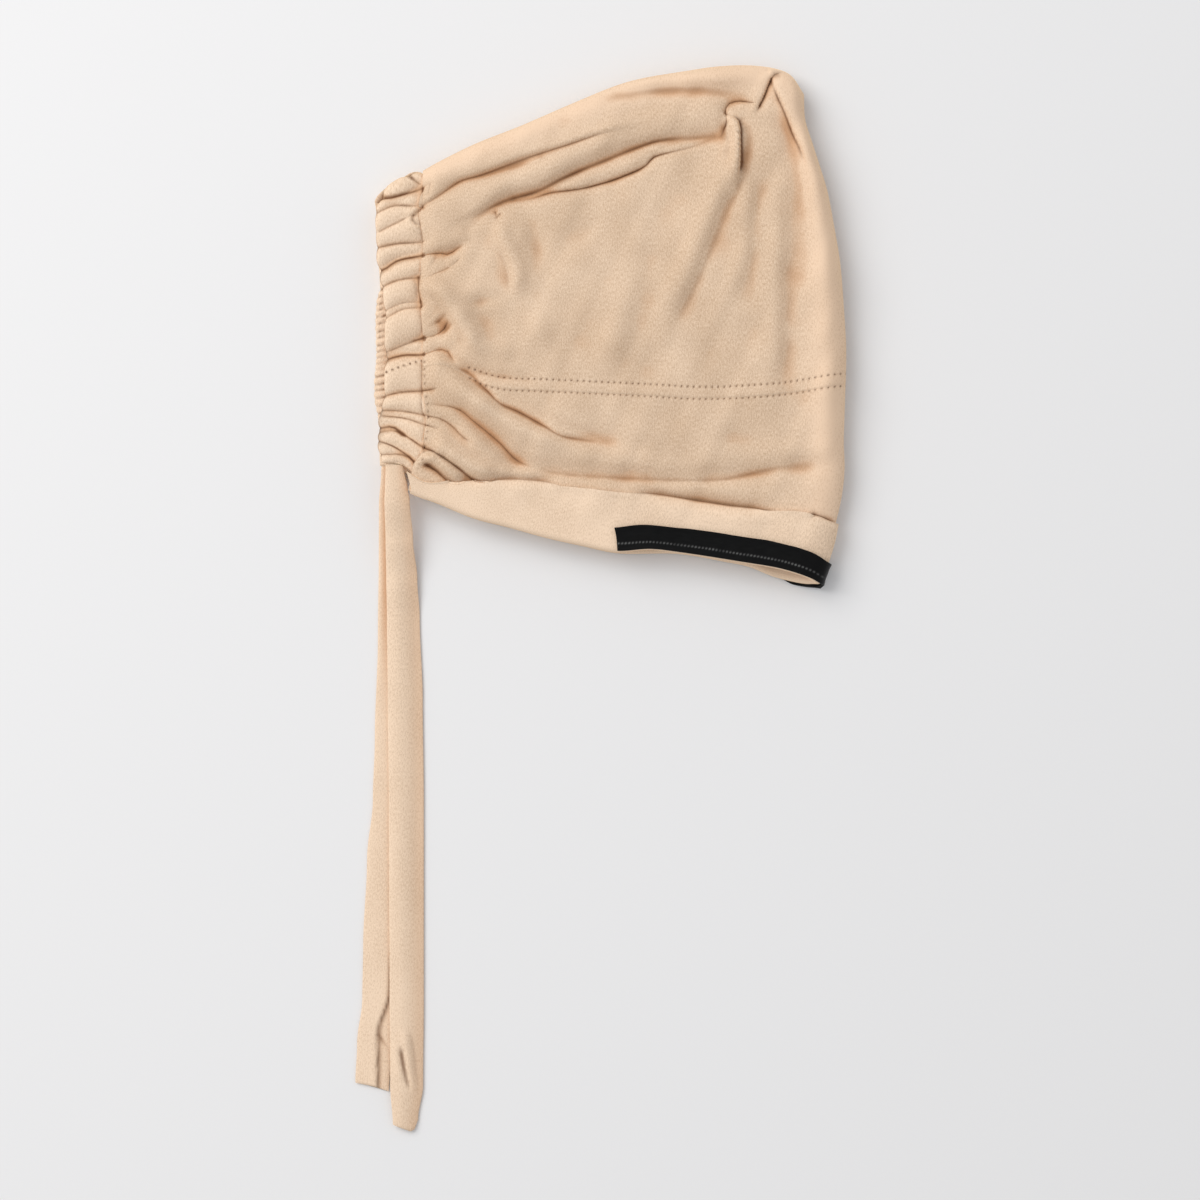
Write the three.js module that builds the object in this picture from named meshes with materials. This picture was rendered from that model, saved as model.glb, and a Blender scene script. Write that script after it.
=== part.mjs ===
// A jersey turban cap lying on its side: a gathered back casing with two ties, a knotted crown,
// a front panel, a hem turned up outside it and a black grip strip along the hem.
// Millimetres, +Z up. The far half lies on the surface z = 0 and the near half faces up.
// The origin is under the middle of the whole cap and its ties.
import * as THREE from "three";

// Driving sizes.
const JERSEY = 1.2; // the cloth, doubled at its seams
const STRIP = 1.0; // the grip strip
const CASING = 5.2; // the casing's gathered cloth round its tie
const TIE = 2.0; // a tie, folded lengthwise from one strip
const CLEARANCE = 0.3; // between pieces that touch
const FOLD_HEIGHT = 8; // where the front and top folds stand off the surface
const FRONT_ROLL = 11; // how far in from the front fold the cloth is level
const TOP_ROLL = 8; // the same at the top fold
const CASING_NEAR = 13.4; // the middle of the casing's two bands, over the surface
const CASING_FAR = CASING / 2;
const HEM_LIP = 3; // how far the hem runs back inside the rim
const STRIP_RISE = 0.6; // from the rim up to the strip's lower edge
const CAP_WIDTH = 190; // from the casing to the front fold, about
const CASING_REACH = 8; // over this width both halves come to the casing's middles
const RIM_REACH = 24; // the folds fade out over this height above the rim
const CASING_CLEAR = 0.45; // between the casing's inner edge and the body's edge
const PANEL_TOP = 0.991; // the panel stops short of the crown, with the clearance at the seam
const HEM_INSET = 0.006; // the hem starts this far along from the panel's edge

const HEM_OFFSET = JERSEY + CLEARANCE; // between the middles of the panel and of the hem
const STRIP_OFFSET = HEM_OFFSET + JERSEY / 2 + CLEARANCE + STRIP / 2;

// Outlines seen from above, [across, up].
const SEAM = [
  [-81.4, 109.5], [-71.3, 109.9], [-59.8, 104], [-46, 99.4], [-27.6, 98.4], [0, 97.1],
  [27.6, 95.7], [46, 94.8], [64.4, 95.2], [82.8, 96.6], [101.2, 99.4], [112.4, 101.2],
];
const TOP_FOLD = [
  [-81, 196.9], [-74.5, 200.6], [-58, 208.8], [-35.9, 217.6], [-13.8, 227.2], [8.3, 236.2],
  [19.3, 239.2], [41.4, 242.9], [54, 244.7], [69, 245.2], [80, 243.8], [87, 241], [93.2, 232.4],
];
const FRONT_FOLD_UPPER = [
  [112.4, 101.2], [112.6, 116], [111.3, 138], [109.9, 154.6], [107.2, 171.1], [104, 187.7],
  [100.7, 198.7], [97.1, 209.8], [93.8, 220.8], [93.2, 232.4],
];
const FRONT_FOLD_LOWER = [
  [102.6, 7.8], [105.8, 16.6], [108.1, 27.6], [109.2, 38.6], [110.9, 49.7], [111.9, 60.7],
  [111.5, 72], [111.8, 82.8], [112.4, 101.2],
];
const CASING_SEAM_UPPER = [
  [-81.4, 109.5], [-81, 119.6], [-81.9, 133.4], [-82.8, 144.9], [-81, 164.2], [-83.2, 181.7],
  [-81.4, 188.6], [-81, 196.9],
];
const CASING_SEAM_LOWER = [
  [-85, 48.6], [-83.3, 56.1], [-82.3, 64.4], [-79.8, 82.8], [-81.2, 96.6], [-81.4, 109.5],
];
const NEAR_RIM = [
  [-85, 48.6], [-74.5, 44.6], [-58, 37.9], [-41.4, 33.6], [-24.8, 29], [-8.3, 25.3], [7.4, 22.4],
  [23, 23.3], [35.9, 21.9], [64.4, 17.5], [82.8, 14.3], [98.9, 10.1], [102.6, 7.8],
];
const FAR_RIM = [
  [-85, 48.6], [-74.5, 44.6], [-58, 37.9], [-41.4, 33.6], [-24.8, 29], [-8.3, 25.3], [7.4, 22],
  [35.9, 21.6], [58, 17.9], [69, 15.6], [80, 11.2], [96.6, 7.9], [102.6, 7.8],
];
const HEM_TOP = [
  [-83.9, 53.2], [-72.2, 53.8], [-55.2, 53.8], [-27.6, 52.9], [0, 50.1], [36.8, 45.1],
  [64.4, 40.9], [92, 40.2], [103.5, 36.8], [109, 35],
];
const STRIP_TOP = [
  [6.6, 32.4], [18.4, 34], [36.8, 32.7], [64.4, 29], [82.8, 25.8], [98.9, 21.6], [105.4, 17.4],
];
const STRIP_START = 0.478; // how far along the rim the strip begins

// The far cloth is lifted by the hem and the strip under it, down to none over these heights.
const HEM_RAMP = { from: 1, over: 7 };
const STRIP_RAMP = { from: 2, over: 6 };
const STRIP_LEAD = { before: 0.06, over: 0.05 }; // shares of the rim, up to the strip's begin

// How high the middle of the near half lies at its level stretch, from the rim to the top.
const NEAR_LEVELS = [
  { up: 0, height: 13 },
  { up: 40, height: 13.2 },
  { up: 100, height: 15.2 },
  { up: 150, height: 16.6 },
  { up: 200, height: 16 },
  { up: 245, height: 15 },
];

const FOLD_END = 0.35; // how much of a fold's rise is left at its two ends
const FOLD_FADE = 0.25; // the share of its length over which it fades to that

// The near half's main folds: a line, how wide it is each way, and its rise, a valley below zero.
const FOLDS = [
  { name: "front roll", rise: 2.6, width: 7,
    line: [[87, 229], [94.8, 207], [102, 166], [104.6, 120], [104.6, 80], [100, 40]] },
  { name: "inside the front roll", rise: -2.6, width: 5,
    line: [[80.5, 227], [87.4, 209], [92, 190], [91, 160], [87, 130], [86, 96]] },
  { name: "top roll", rise: 1.8, width: 4,
    line: [[6, 233.5], [27.6, 238.3], [46, 239.6], [66, 240], [78, 237.4]] },
  { name: "under the top roll", rise: -3, width: 3.4,
    line: [[-4, 228], [18.4, 233], [46, 233], [60, 231], [73, 227]] },
  { name: "upper dart", rise: -3.4, width: 2.6, line: [[84, 240], [77, 237], [73, 227]] },
  { name: "knot flap", rise: 3, width: 3.6,
    line: [[58, 222], [63.4, 214], [63, 202], [60, 188]] },
  { name: "lower dart", rise: -2.8, width: 2.6, line: [[64, 229], [57.6, 223], [56, 212]] },
  { name: "beside the flap", rise: -3, width: 3, line: [[68, 224], [67.6, 206], [66, 189]] },
  { name: "long fold from the knot", rise: 2.4, width: 5,
    line: [[60, 207], [55, 186], [45.5, 161], [29, 121]] },
  { name: "short fold", rise: 1.6, width: 4, line: [[68, 198], [67.5, 184], [65, 150]] },
  { name: "fold by the front roll", rise: 1.8, width: 4.6,
    line: [[81.4, 188], [81, 147], [80.6, 96]] },
  { name: "middle fold", rise: 1.4, width: 6, line: [[20.7, 168], [13, 140], [3, 108]] },
  { name: "back crease", rise: -2, width: 3,
    line: [[-82, 179.5], [-66, 191], [-46, 196.4], [-27.6, 202]] },
  { name: "long crease to the knot", rise: -2.4, width: 3.2,
    line: [[-60, 170], [-46, 182.6], [-27.6, 187.7], [0, 202], [27.6, 211], [56, 213]] },
  { name: "ridge over it", rise: 1.8, width: 4.5,
    line: [[-60, 184], [-36, 194], [-10, 206], [14, 218], [50, 222]] },
  { name: "second crease", rise: -2, width: 2.8,
    line: [[-39, 184], [-10, 189], [16, 197], [26, 204.6], [52, 212]] },
  { name: "casing pinch", rise: -2.2, width: 3, line: [[-83, 157], [-69.5, 158.6], [-60, 164.4]] },
  { name: "back swell", rise: 1.8, width: 6, line: [[-80, 141], [-66, 138], [-54, 117]] },
  { name: "over the seam", rise: -2.2, width: 3,
    line: [[-78, 118], [-64, 107], [-50, 102.6], [-34, 101]] },
  { name: "slanting ridge", rise: 2.6, width: 5.5,
    line: [[-78, 106], [-60, 92], [-36, 79], [-9, 68]] },
  { name: "slanting valley", rise: -2.2, width: 3.6,
    line: [[-61, 104], [-41, 90], [-23, 80.5], [16, 69.5]] },
  { name: "over the hem", rise: -2.2, width: 4,
    line: [[-78, 90], [-55, 79], [-40, 65], [-10, 59], [40, 56.4], [101, 62]] },
  { name: "corner ridge", rise: 2.4, width: 5, line: [[-78, 78], [-67, 66], [-46, 58]] },
];

// The casing's outer edges, from its lower end up to the top fold.
const CASING_NEAR_EDGE = [
  [-99.6, 63], [-101.7, 71.3], [-101.2, 82.8], [-98.9, 94.3], [-98.4, 115], [-98.9, 138],
  [-100.7, 147.2], [-102.2, 158.7], [-102.6, 172], [-104, 182.5],
];
const CASING_FAR_EDGE = [
  [-101.6, 62], [-101.9, 80], [-104, 94], [-103.2, 115], [-103.2, 138], [-101.4, 145],
  [-102.4, 158.7], [-102.8, 172], [-104, 182.5],
];
// The inner edge follows the body's edge, clear of it.
const CASING_INNER_EDGE = [...CASING_SEAM_LOWER.slice(1), ...CASING_SEAM_UPPER.slice(1)]
  .map(([across, up]) => [across - CASING_CLEAR, up]);
const CASING_TOP_FOLD = [[-104, 182.5], [-96.6, 189.4], [-89, 193.2], [-81.45, 196.9]];
const CASING_END = [[-99.6, 63], [-92, 62.3], [-83.75, 56.1]];
const CASING_FAR_END = [[-101.6, 62], [-94, 60.5], [-83.75, 56.1]];

// The casing's gathers: how far up each starts at the outer edge and ends at the seam.
const GATHERS = [
  { edge: 184, seam: 188.6, depth: 1.2 },
  { edge: 177, seam: 180.5, depth: 0.9 },
  { edge: 170.5, seam: 175, depth: 1.1 },
  { edge: 162.4, seam: 164.7, depth: 1.1 },
  { edge: 152.7, seam: 157.3, depth: 1.7 },
  { edge: 144.4, seam: 147.7, depth: 1.1 },
  { edge: 130.6, seam: 134.3, depth: 1.0 },
  { edge: 110.5, seam: 114, depth: 1.7 },
  { edge: 93.4, seam: 96.1, depth: 1.2 },
  { edge: 87, seam: 84.6, depth: 0.9 },
  { edge: 79, seam: 71, depth: 1.4 },
  { edge: 71, seam: 63, depth: 1.1 },
];
const GATHER_WIDTH = 2.4;
const CASING_EDGE = 0.25; // the band's half thickness at its edges, as a share

// The ties, from inside the casing's end to the free end: their edges and heights over the surface.
const NEAR_TIE = [
  { up: 60.8, left: -98.6, right: -91, leftHeight: 13.4, rightHeight: 13.4 },
  { up: 46, left: -98.9, right: -87.4, leftHeight: 12.4, rightHeight: 11.6 },
  { up: 27.6, left: -98.6, right: -86, leftHeight: 8.6, rightHeight: 7.4 },
  { up: 10, left: -98.5, right: -84.3, leftHeight: 5, rightHeight: 3.2 },
  { up: -8, left: -98.3, right: -83.3, leftHeight: 3.5, rightHeight: 1 },
  { up: -46, left: -98, right: -81.9, leftHeight: 3.3, rightHeight: 1 },
  { up: -92, left: -97.5, right: -81.4, leftHeight: 3.3, rightHeight: 1 },
  { up: -184, left: -97.1, right: -81.4, leftHeight: 3.3, rightHeight: 1 },
  { up: -224, left: -96.8, right: -81.7, leftHeight: 3.3, rightHeight: 1 },
  { up: -241.6, left: -95.6, right: -84, leftHeight: 2.4, rightHeight: 1 },
];
const FAR_TIE = [
  { up: 59, left: -101, right: -91.4, leftHeight: 2.6, rightHeight: 2.6 },
  { up: 44, left: -102.1, right: -91, leftHeight: 1.6, rightHeight: 1.6 },
  { up: 20, left: -102.2, right: -91.6, leftHeight: 1, rightHeight: 1 },
  { up: -18, left: -102.6, right: -92, leftHeight: 1, rightHeight: 1 },
  { up: -64, left: -104, right: -92.4, leftHeight: 1, rightHeight: 1 },
  { up: -92, left: -104.9, right: -92.8, leftHeight: 1, rightHeight: 1 },
  { up: -119.6, left: -107.6, right: -93, leftHeight: 1, rightHeight: 1 },
  { up: -160, left: -109.4, right: -93.4, leftHeight: 1, rightHeight: 1 },
  { up: -184, left: -109.8, right: -94, leftHeight: 1, rightHeight: 1 },
  { up: -205, left: -112.2, right: -95.6, leftHeight: 1, rightHeight: 1 },
  { up: -224.6, left: -113, right: -97.6, leftHeight: 1, rightHeight: 1 },
];
const NEAR_TIE_TIP = 4; // how far the near tie's end bulges past its corners
const FAR_TIE_TIP = 1.2;
const TIE_TIP_SHARE = 0.06; // of the tie's length, for that bulge
const TIE_STEP = { from: 0.3, over: 0.35 }; // shares across, where it comes down off the far tie
const TIE_EDGE = 0.4; // the half thickness at its edges, as a share

// How finely the sheets are divided. Columns and rows crowd together towards a fold.
const COLUMNS = 25;
const CROWN_ROWS = 18;
const FOLD_CROWD = 1.75;
const HEM_ROWS = [0, 0.25, 0.5, 0.75, 1]; // from the rim up to the hem's top edge
const OPEN_ROWS = [1.25, 1.5, 1.75, 2]; // from there up to the seam
const LIP_ROWS = [1.33, 1.67, 2, 3]; // round the rim and up inside
const STRIP_ROWS = 3;
const CASING_COLUMNS = 5;
const CASING_ROWS = 38;
const CASING_CROWD = 1.15;
const TIE_COLUMNS = 5;
const TIE_ROWS = 27;
const LEAST_COLUMN = 0.01; // no column lies closer to the strip's end, as a share
const WELDS_PER_MM = 200; // points closer than one of these steps are one point
const STEP_AROUND = 0.004; // a small step in each direction, for the slope of the panel
const STEP_UP = 0.01;

// Small sums.
const clamp = (value) => Math.min(Math.max(value, 0), 1);
const mix = (from, to, share) => from + (to - from) * share;
const ease = (value) => {
  const t = clamp(value);
  return t * t * (3 - 2 * t);
};
// 0 at a fold and 1 from `reach` inwards, along a quarter of an ellipse.
const rounded = (distance, reach) => Math.sqrt(1 - (1 - clamp(distance / reach)) ** 2);

// A smooth line through [across, up] points, read by its share of the length.
function smoothLine(points) {
  const curve = new THREE.CatmullRomCurve3(
    points.map(([x, y]) => new THREE.Vector3(x, y, 0)), false, "centripetal");
  return (share) => curve.getPointAt(clamp(share));
}

// A patch stretched between four lines. Left and right run up, lower and upper run across.
function patch(lower, upper, left, right) {
  const [bottom, top, start, end] = [lower, upper, left, right].map(smoothLine);
  const corners = [bottom(0), bottom(1), top(0), top(1)];
  return (u, v) => {
    const rows = bottom(u).multiplyScalar(1 - v).addScaledVector(top(u), v);
    const columns = start(v).multiplyScalar(1 - u).addScaledVector(end(v), u);
    const weights = [(1 - u) * (1 - v), u * (1 - v), (1 - u) * v, u * v];
    const middle = new THREE.Vector3();
    corners.forEach((corner, k) => middle.addScaledVector(corner, weights[k]));
    return rows.add(columns).sub(middle);
  };
}

// The value of a named column at `up`, eased between the rows of a table.
function level(table, column, up) {
  const rising = table[0].up < table[table.length - 1].up;
  const rows = rising ? table : [...table].reverse();
  const next = rows.findIndex((row) => row.up >= up);
  if (next === 0) return rows[0][column];
  if (next < 0) return rows[rows.length - 1][column];
  const [below, above] = [rows[next - 1], rows[next]];
  return mix(below[column], above[column], ease((up - below.up) / (above.up - below.up)));
}

// The nearest point of a fold's line: its distance, and how far along the line it is.
function nearest(line, x, y) {
  let best = { distance: Infinity, along: 0 };
  for (let k = 0; k + 1 < line.length; k += 1) {
    const [[ax, ay], [bx, by]] = [line[k], line[k + 1]];
    const [dx, dy] = [bx - ax, by - ay];
    const share = clamp(((x - ax) * dx + (y - ay) * dy) / (dx * dx + dy * dy));
    const distance = Math.hypot(x - ax - share * dx, y - ay - share * dy);
    if (distance < best.distance) best = { distance, along: (k + share) / (line.length - 1) };
  }
  return best;
}

// What all folds add at a place: each is a bell across its line that fades at its two ends.
function foldRise(x, y) {
  return FOLDS.reduce((sum, fold) => {
    const { distance, along } = nearest(fold.line, x, y);
    const fade = mix(FOLD_END, 1, ease(Math.min(along, 1 - along) / FOLD_FADE));
    return sum + fold.rise * fade * Math.exp(-((distance / fold.width) ** 2));
  }, 0);
}

// The middle of the near cloth, at its level stretch.
function nearHeight(x, y, fromCasing, fromRim) {
  const calm = ease(fromRim / RIM_REACH);
  const free = level(NEAR_LEVELS, "height", y) + calm * foldRise(x, y);
  return mix(CASING_NEAR, free, ease(fromCasing / CASING_REACH));
}

// The middle of the far cloth: flat on the surface, lifted by what lies under it.
function farHeight(under, fromCasing) {
  return mix(CASING_FAR, JERSEY / 2 + under, ease(fromCasing / CASING_REACH));
}

// Brings a height down or up to the fold between the two halves.
const foldedHeight = (height, roundness) => FOLD_HEIGHT + (height - FOLD_HEIGHT) * roundness;

const crownPlan = patch(SEAM, TOP_FOLD, CASING_SEAM_UPPER, FRONT_FOLD_UPPER);
const panelPlans = {
  near: patch(NEAR_RIM, SEAM, CASING_SEAM_LOWER, FRONT_FOLD_LOWER),
  far: patch(FAR_RIM, SEAM, CASING_SEAM_LOWER, FRONT_FOLD_LOWER),
};

// The middle of the crown's cloth on one side, u across from the casing, v up from the seam.
function crownPoint(side, u, v) {
  const point = crownPlan(u, v);
  const fromFront = (1 - u) * CAP_WIDTH;
  const fromTop = crownPlan(u, 1).distanceTo(point);
  const fromCasing = u * CAP_WIDTH;
  const roundness = rounded(fromFront, FRONT_ROLL) * rounded(fromTop, TOP_ROLL);
  const height = side === "near"
    ? nearHeight(point.x, point.y, fromCasing, Infinity)
    : farHeight(0, fromCasing);
  point.z = foldedHeight(height, roundness);
  return point;
}

const hemTop = smoothLine(HEM_TOP);
const stripTop = smoothLine(STRIP_TOP);
const nearRim = smoothLine(NEAR_RIM);
const farRim = smoothLine(FAR_RIM);
const seamLine = smoothLine(SEAM);

// How far up the panel a line lies, as a share of its height there.
function shareUp(line, u, rim) {
  const foot = rim(u);
  return line.distanceTo(foot) / seamLine(u).distanceTo(foot);
}
const hemShare = (u, rim) => shareUp(hemTop(u), u, rim);
const stripShare = (u, rim) =>
  shareUp(stripTop((u - STRIP_START) / (1 - STRIP_START)), u, rim);

// The middle of the panel's cloth. `around` runs 0 to 1 over the near half and on to 2 at the
// far casing, and v runs up from the rim to the seam.
function panelPoint(around, v) {
  const side = around <= 1 ? "near" : "far";
  const rim = side === "near" ? nearRim : farRim;
  const u = 1 - Math.abs(1 - around);
  const point = panelPlans[side](u, v);
  const tall = seamLine(u).distanceTo(rim(u));
  const fromCasing = u * CAP_WIDTH;
  const roundness = rounded((1 - u) * CAP_WIDTH, FRONT_ROLL);
  if (side === "near") {
    point.z = foldedHeight(nearHeight(point.x, point.y, fromCasing, v * tall), roundness);
    return point;
  }
  const pastHem = (v - hemShare(u, rim)) * tall;
  const pastStrip = (v - stripShare(Math.max(u, STRIP_START), rim)) * tall;
  const hemUnder = HEM_OFFSET * ease(1 - (pastHem - HEM_RAMP.from) / HEM_RAMP.over);
  const alongStrip = ease((u - STRIP_START + STRIP_LEAD.before) / STRIP_LEAD.over);
  const stripUnder = (STRIP_OFFSET + STRIP / 2 - HEM_OFFSET - JERSEY / 2) * alongStrip
    * ease(1 - (pastStrip - STRIP_RAMP.from) / STRIP_RAMP.over);
  point.z = foldedHeight(farHeight(hemUnder + stripUnder, fromCasing), roundness);
  return point;
}

// The panel's two directions at a place, and the one out of its face.
function panelAxes(around, v) {
  const forward = panelPoint(Math.min(around + STEP_AROUND, 2), v)
    .sub(panelPoint(Math.max(around - STEP_AROUND, 0), v)).normalize();
  const down = panelPoint(around, Math.max(v - STEP_UP, 0))
    .sub(panelPoint(around, Math.min(v + STEP_UP, 1))).normalize();
  const out = down.clone().cross(forward).normalize();
  return { down, out };
}

// A place over the panel's face: `offset` out of it.
function overPanel(around, v, offset) {
  return panelPoint(around, v).addScaledVector(panelAxes(around, v).out, offset);
}

// A sheet is collected as points with half thicknesses, and triangles between them.
class Sheet {
  constructor() {
    this.points = [];
    this.halves = [];
    this.triangles = [];
    this.places = new Map();
  }

  add(point, half) {
    const key = point.toArray().map((value) => Math.round(value * WELDS_PER_MM)).join();
    if (!this.places.has(key)) {
      this.places.set(key, this.points.length);
      this.points.push(point);
      this.halves.push(half);
    }
    return this.places.get(key);
  }

  // Adds a grid of columns by rows. `turned` is for one whose outer face looks the other way.
  grid(columns, rows, pointAt, halfAt, turned = false) {
    const index = columns.map((u) => rows.map((v) => this.add(pointAt(u, v), halfAt(u, v))));
    for (let i = 0; i + 1 < columns.length; i += 1) {
      for (let j = 0; j + 1 < rows.length; j += 1) {
        const [a, b] = [index[i][j], index[i + 1][j]];
        const [c, d] = [index[i + 1][j + 1], index[i][j + 1]];
        const faces = [[a, b, c], [a, c, d]];
        for (const [p, q, r] of faces) {
          if (p === q || q === r || p === r) continue;
          this.triangles.push(turned ? [p, r, q] : [p, q, r]);
        }
      }
    }
    return this;
  }

  // The closed solid: the sheet pushed out and in along its normals, with its border joined.
  solid() {
    const normals = this.points.map(() => new THREE.Vector3());
    for (const [a, b, c] of this.triangles) {
      const [p, q, r] = [this.points[a], this.points[b], this.points[c]];
      const normal = q.clone().sub(p).cross(r.clone().sub(p));
      for (const corner of [a, b, c]) normals[corner].add(normal);
    }
    const place = (sign) => this.points.flatMap((point, k) =>
      point.clone().addScaledVector(normals[k].clone().normalize(), sign * this.halves[k]).toArray());
    const count = this.points.length;
    const index = this.triangles.flatMap(([a, b, c]) => [a, b, c, a + count, c + count, b + count]);
    const edges = new Set(this.triangles.flatMap(([a, b, c]) => [`${a},${b}`, `${b},${c}`, `${c},${a}`]));
    for (const edge of edges) {
      const [a, b] = edge.split(",").map(Number);
      if (edges.has(`${b},${a}`)) continue;
      index.push(a, a + count, b + count, a, b + count, b);
    }
    const geometry = new THREE.BufferGeometry();
    geometry.setAttribute("position", new THREE.Float32BufferAttribute([...place(1), ...place(-1)], 3));
    geometry.setIndex(index);
    geometry.computeVertexNormals();
    return geometry;
  }
}

// n steps from 0 to 1, closer together towards 1 as `crowd` grows.
const steps = (n, crowd = 1) => Array.from({ length: n + 1 }, (_, k) => 1 - (1 - k / n) ** crowd);

const aroundSteps = [
  ...steps(COLUMNS, FOLD_CROWD),
  ...steps(COLUMNS, FOLD_CROWD).slice(0, -1).reverse().map((u) => 2 - u),
];
const evenJersey = () => JERSEY / 2;

function crownGeometry() {
  const [columns, rows] = [steps(COLUMNS, FOLD_CROWD), steps(CROWN_ROWS, FOLD_CROWD)];
  const sheet = new Sheet();
  sheet.grid(columns, rows, (u, v) => crownPoint("near", u, v), evenJersey);
  sheet.grid(columns, rows, (u, v) => crownPoint("far", u, v), evenJersey, true);
  return sheet.solid();
}

// The panel's rows: up to 1 they lie under the hem, and to 2 between the hem and the seam.
function panelRow(around, row) {
  const share = hemShare(1 - Math.abs(1 - around), around <= 1 ? nearRim : farRim);
  return panelPoint(around, row <= 1 ? row * share : mix(share, PANEL_TOP, row - 1));
}

function panelGeometry() {
  return new Sheet()
    .grid(aroundSteps, [...HEM_ROWS, ...OPEN_ROWS], panelRow, evenJersey).solid();
}

// The hem's rows: up to 1 it comes down outside the panel, to 2 it turns round the rim, and
// past that it runs up inside.
function hemPoint(around, row) {
  const side = around <= 1 ? nearRim : farRim;
  const u = 1 - Math.abs(1 - around);
  if (row <= 1) return overPanel(around, (1 - row) * hemShare(u, side), HEM_OFFSET);
  const { down, out } = panelAxes(around, 0);
  const angle = Math.PI * (Math.min(row, 2) - 1);
  const turn = panelPoint(around, 0)
    .addScaledVector(out, HEM_OFFSET * Math.cos(angle))
    .addScaledVector(down, HEM_OFFSET * Math.sin(angle));
  return turn.addScaledVector(down, -HEM_LIP * Math.max(row - 2, 0));
}

function hemGeometry() {
  const rows = [...HEM_ROWS.map((row) => 1 - row).reverse(), ...LIP_ROWS];
  const columns = [HEM_INSET, ...aroundSteps.slice(1, -1), 2 - HEM_INSET];
  return new Sheet().grid(columns, rows, hemPoint, evenJersey, true).solid();
}

function stripPoint(around, row) {
  const rim = around <= 1 ? nearRim : farRim;
  const u = 1 - Math.abs(1 - around);
  const foot = STRIP_RISE / seamLine(u).distanceTo(rim(u));
  return overPanel(around, mix(foot, stripShare(u, rim), row), STRIP_OFFSET);
}

function stripGeometry() {
  const least = STRIP_START + LEAST_COLUMN;
  const between = aroundSteps.filter((around) => around > least && around < 2 - least);
  const columns = [STRIP_START, ...between, 2 - STRIP_START];
  return new Sheet().grid(columns, steps(STRIP_ROWS), stripPoint, () => STRIP / 2).solid();
}

// The casing is one band that folds over at the top, thinner along its edges and in its gathers.
const casingPlans = {
  near: patch(CASING_END, CASING_TOP_FOLD, CASING_NEAR_EDGE, CASING_INNER_EDGE),
  far: patch(CASING_FAR_END, CASING_TOP_FOLD, CASING_FAR_EDGE, CASING_INNER_EDGE),
};

function casingPoint(side, u, v) {
  const point = casingPlans[side](u, v);
  const roundness = rounded(casingPlans[side](u, 1).distanceTo(point), FOLD_HEIGHT - CASING_FAR);
  point.z = foldedHeight(side === "near" ? CASING_NEAR : CASING_FAR, roundness);
  return point;
}

function casingHalf(side, u, v) {
  const { y } = casingPlans[side](u, v);
  const body = CASING_EDGE + (1 - CASING_EDGE) * Math.sqrt(1 - Math.abs(2 * u - 1) ** 3);
  const pinch = GATHERS.reduce((sum, gather) => {
    const off = (y - mix(gather.edge, gather.seam, u)) / GATHER_WIDTH;
    return sum + gather.depth * Math.exp(-off * off);
  }, 0);
  const flat = side === "far" ? 0 : pinch;
  return (CASING / 2) * body - flat * body / 2;
}

function casingGeometry() {
  const rows = steps(CASING_ROWS, CASING_CROWD);
  const sheet = new Sheet();
  for (const side of ["near", "far"]) {
    const pointAt = (u, v) => casingPoint(side, u, v);
    const halfAt = (u, v) => casingHalf(side, u, v);
    sheet.grid(steps(CASING_COLUMNS), rows, pointAt, halfAt, side === "far");
  }
  return sheet.solid();
}

// A tie lies between its two edges, with a rounded section and a rounded free end.
function tieGeometry(table, tip) {
  const [from, to] = [table[0].up, table[table.length - 1].up];
  const pointAt = (s, t) => {
    const up = mix(from, to, t);
    const bulge = tip * (1 - (2 * s - 1) ** 2) * ease(1 - (1 - t) / TIE_TIP_SHARE);
    const x = mix(level(table, "left", up), level(table, "right", up), s);
    const step = ease((s - TIE_STEP.from) / TIE_STEP.over);
    const z = mix(level(table, "leftHeight", up), level(table, "rightHeight", up), step);
    return new THREE.Vector3(x, up - bulge, z);
  };
  const halfAt = (s) => (TIE / 2) * mix(TIE_EDGE, 1, Math.sqrt(1 - Math.abs(2 * s - 1) ** 3));
  return new Sheet().grid(steps(TIE_COLUMNS), steps(TIE_ROWS), pointAt, halfAt, true).solid();
}

const jersey = { color: 0xe3c1a0, roughness: 0.92, metalness: 0 };
const grip = { color: 0x161616, roughness: 0.42, metalness: 0 };

const pieces = [
  { name: "crown", geometry: crownGeometry(), finish: jersey },
  { name: "front_panel", geometry: panelGeometry(), finish: jersey },
  { name: "turned_cuff", geometry: hemGeometry(), finish: jersey },
  { name: "grip_strip", geometry: stripGeometry(), finish: grip },
  { name: "back_casing", geometry: casingGeometry(), finish: jersey },
  { name: "near_tie", geometry: tieGeometry(NEAR_TIE, NEAR_TIE_TIP), finish: jersey },
  { name: "far_tie", geometry: tieGeometry(FAR_TIE, FAR_TIE_TIP), finish: jersey },
];

const cap = new THREE.Group();
for (const { name, geometry, finish } of pieces) {
  const mesh = new THREE.Mesh(geometry, new THREE.MeshStandardMaterial(finish));
  mesh.name = name;
  cap.add(mesh);
}

export default cap;
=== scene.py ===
"""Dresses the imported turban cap: a beige jersey cap lying flat on its side, with a gathered back
casing, two ties, a knotted crown, a front panel, a turned-up hem and a black grip strip.

Lengths here are millimetres and become metres where a mesh is made. Seen from above, x runs
across from the casing to the front fold, y runs up from the ties to the top fold, and z is the
height over the table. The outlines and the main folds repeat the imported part's own values.
"""

import logging
from dataclasses import dataclass
from enum import Enum
from typing import Sequence

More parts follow.
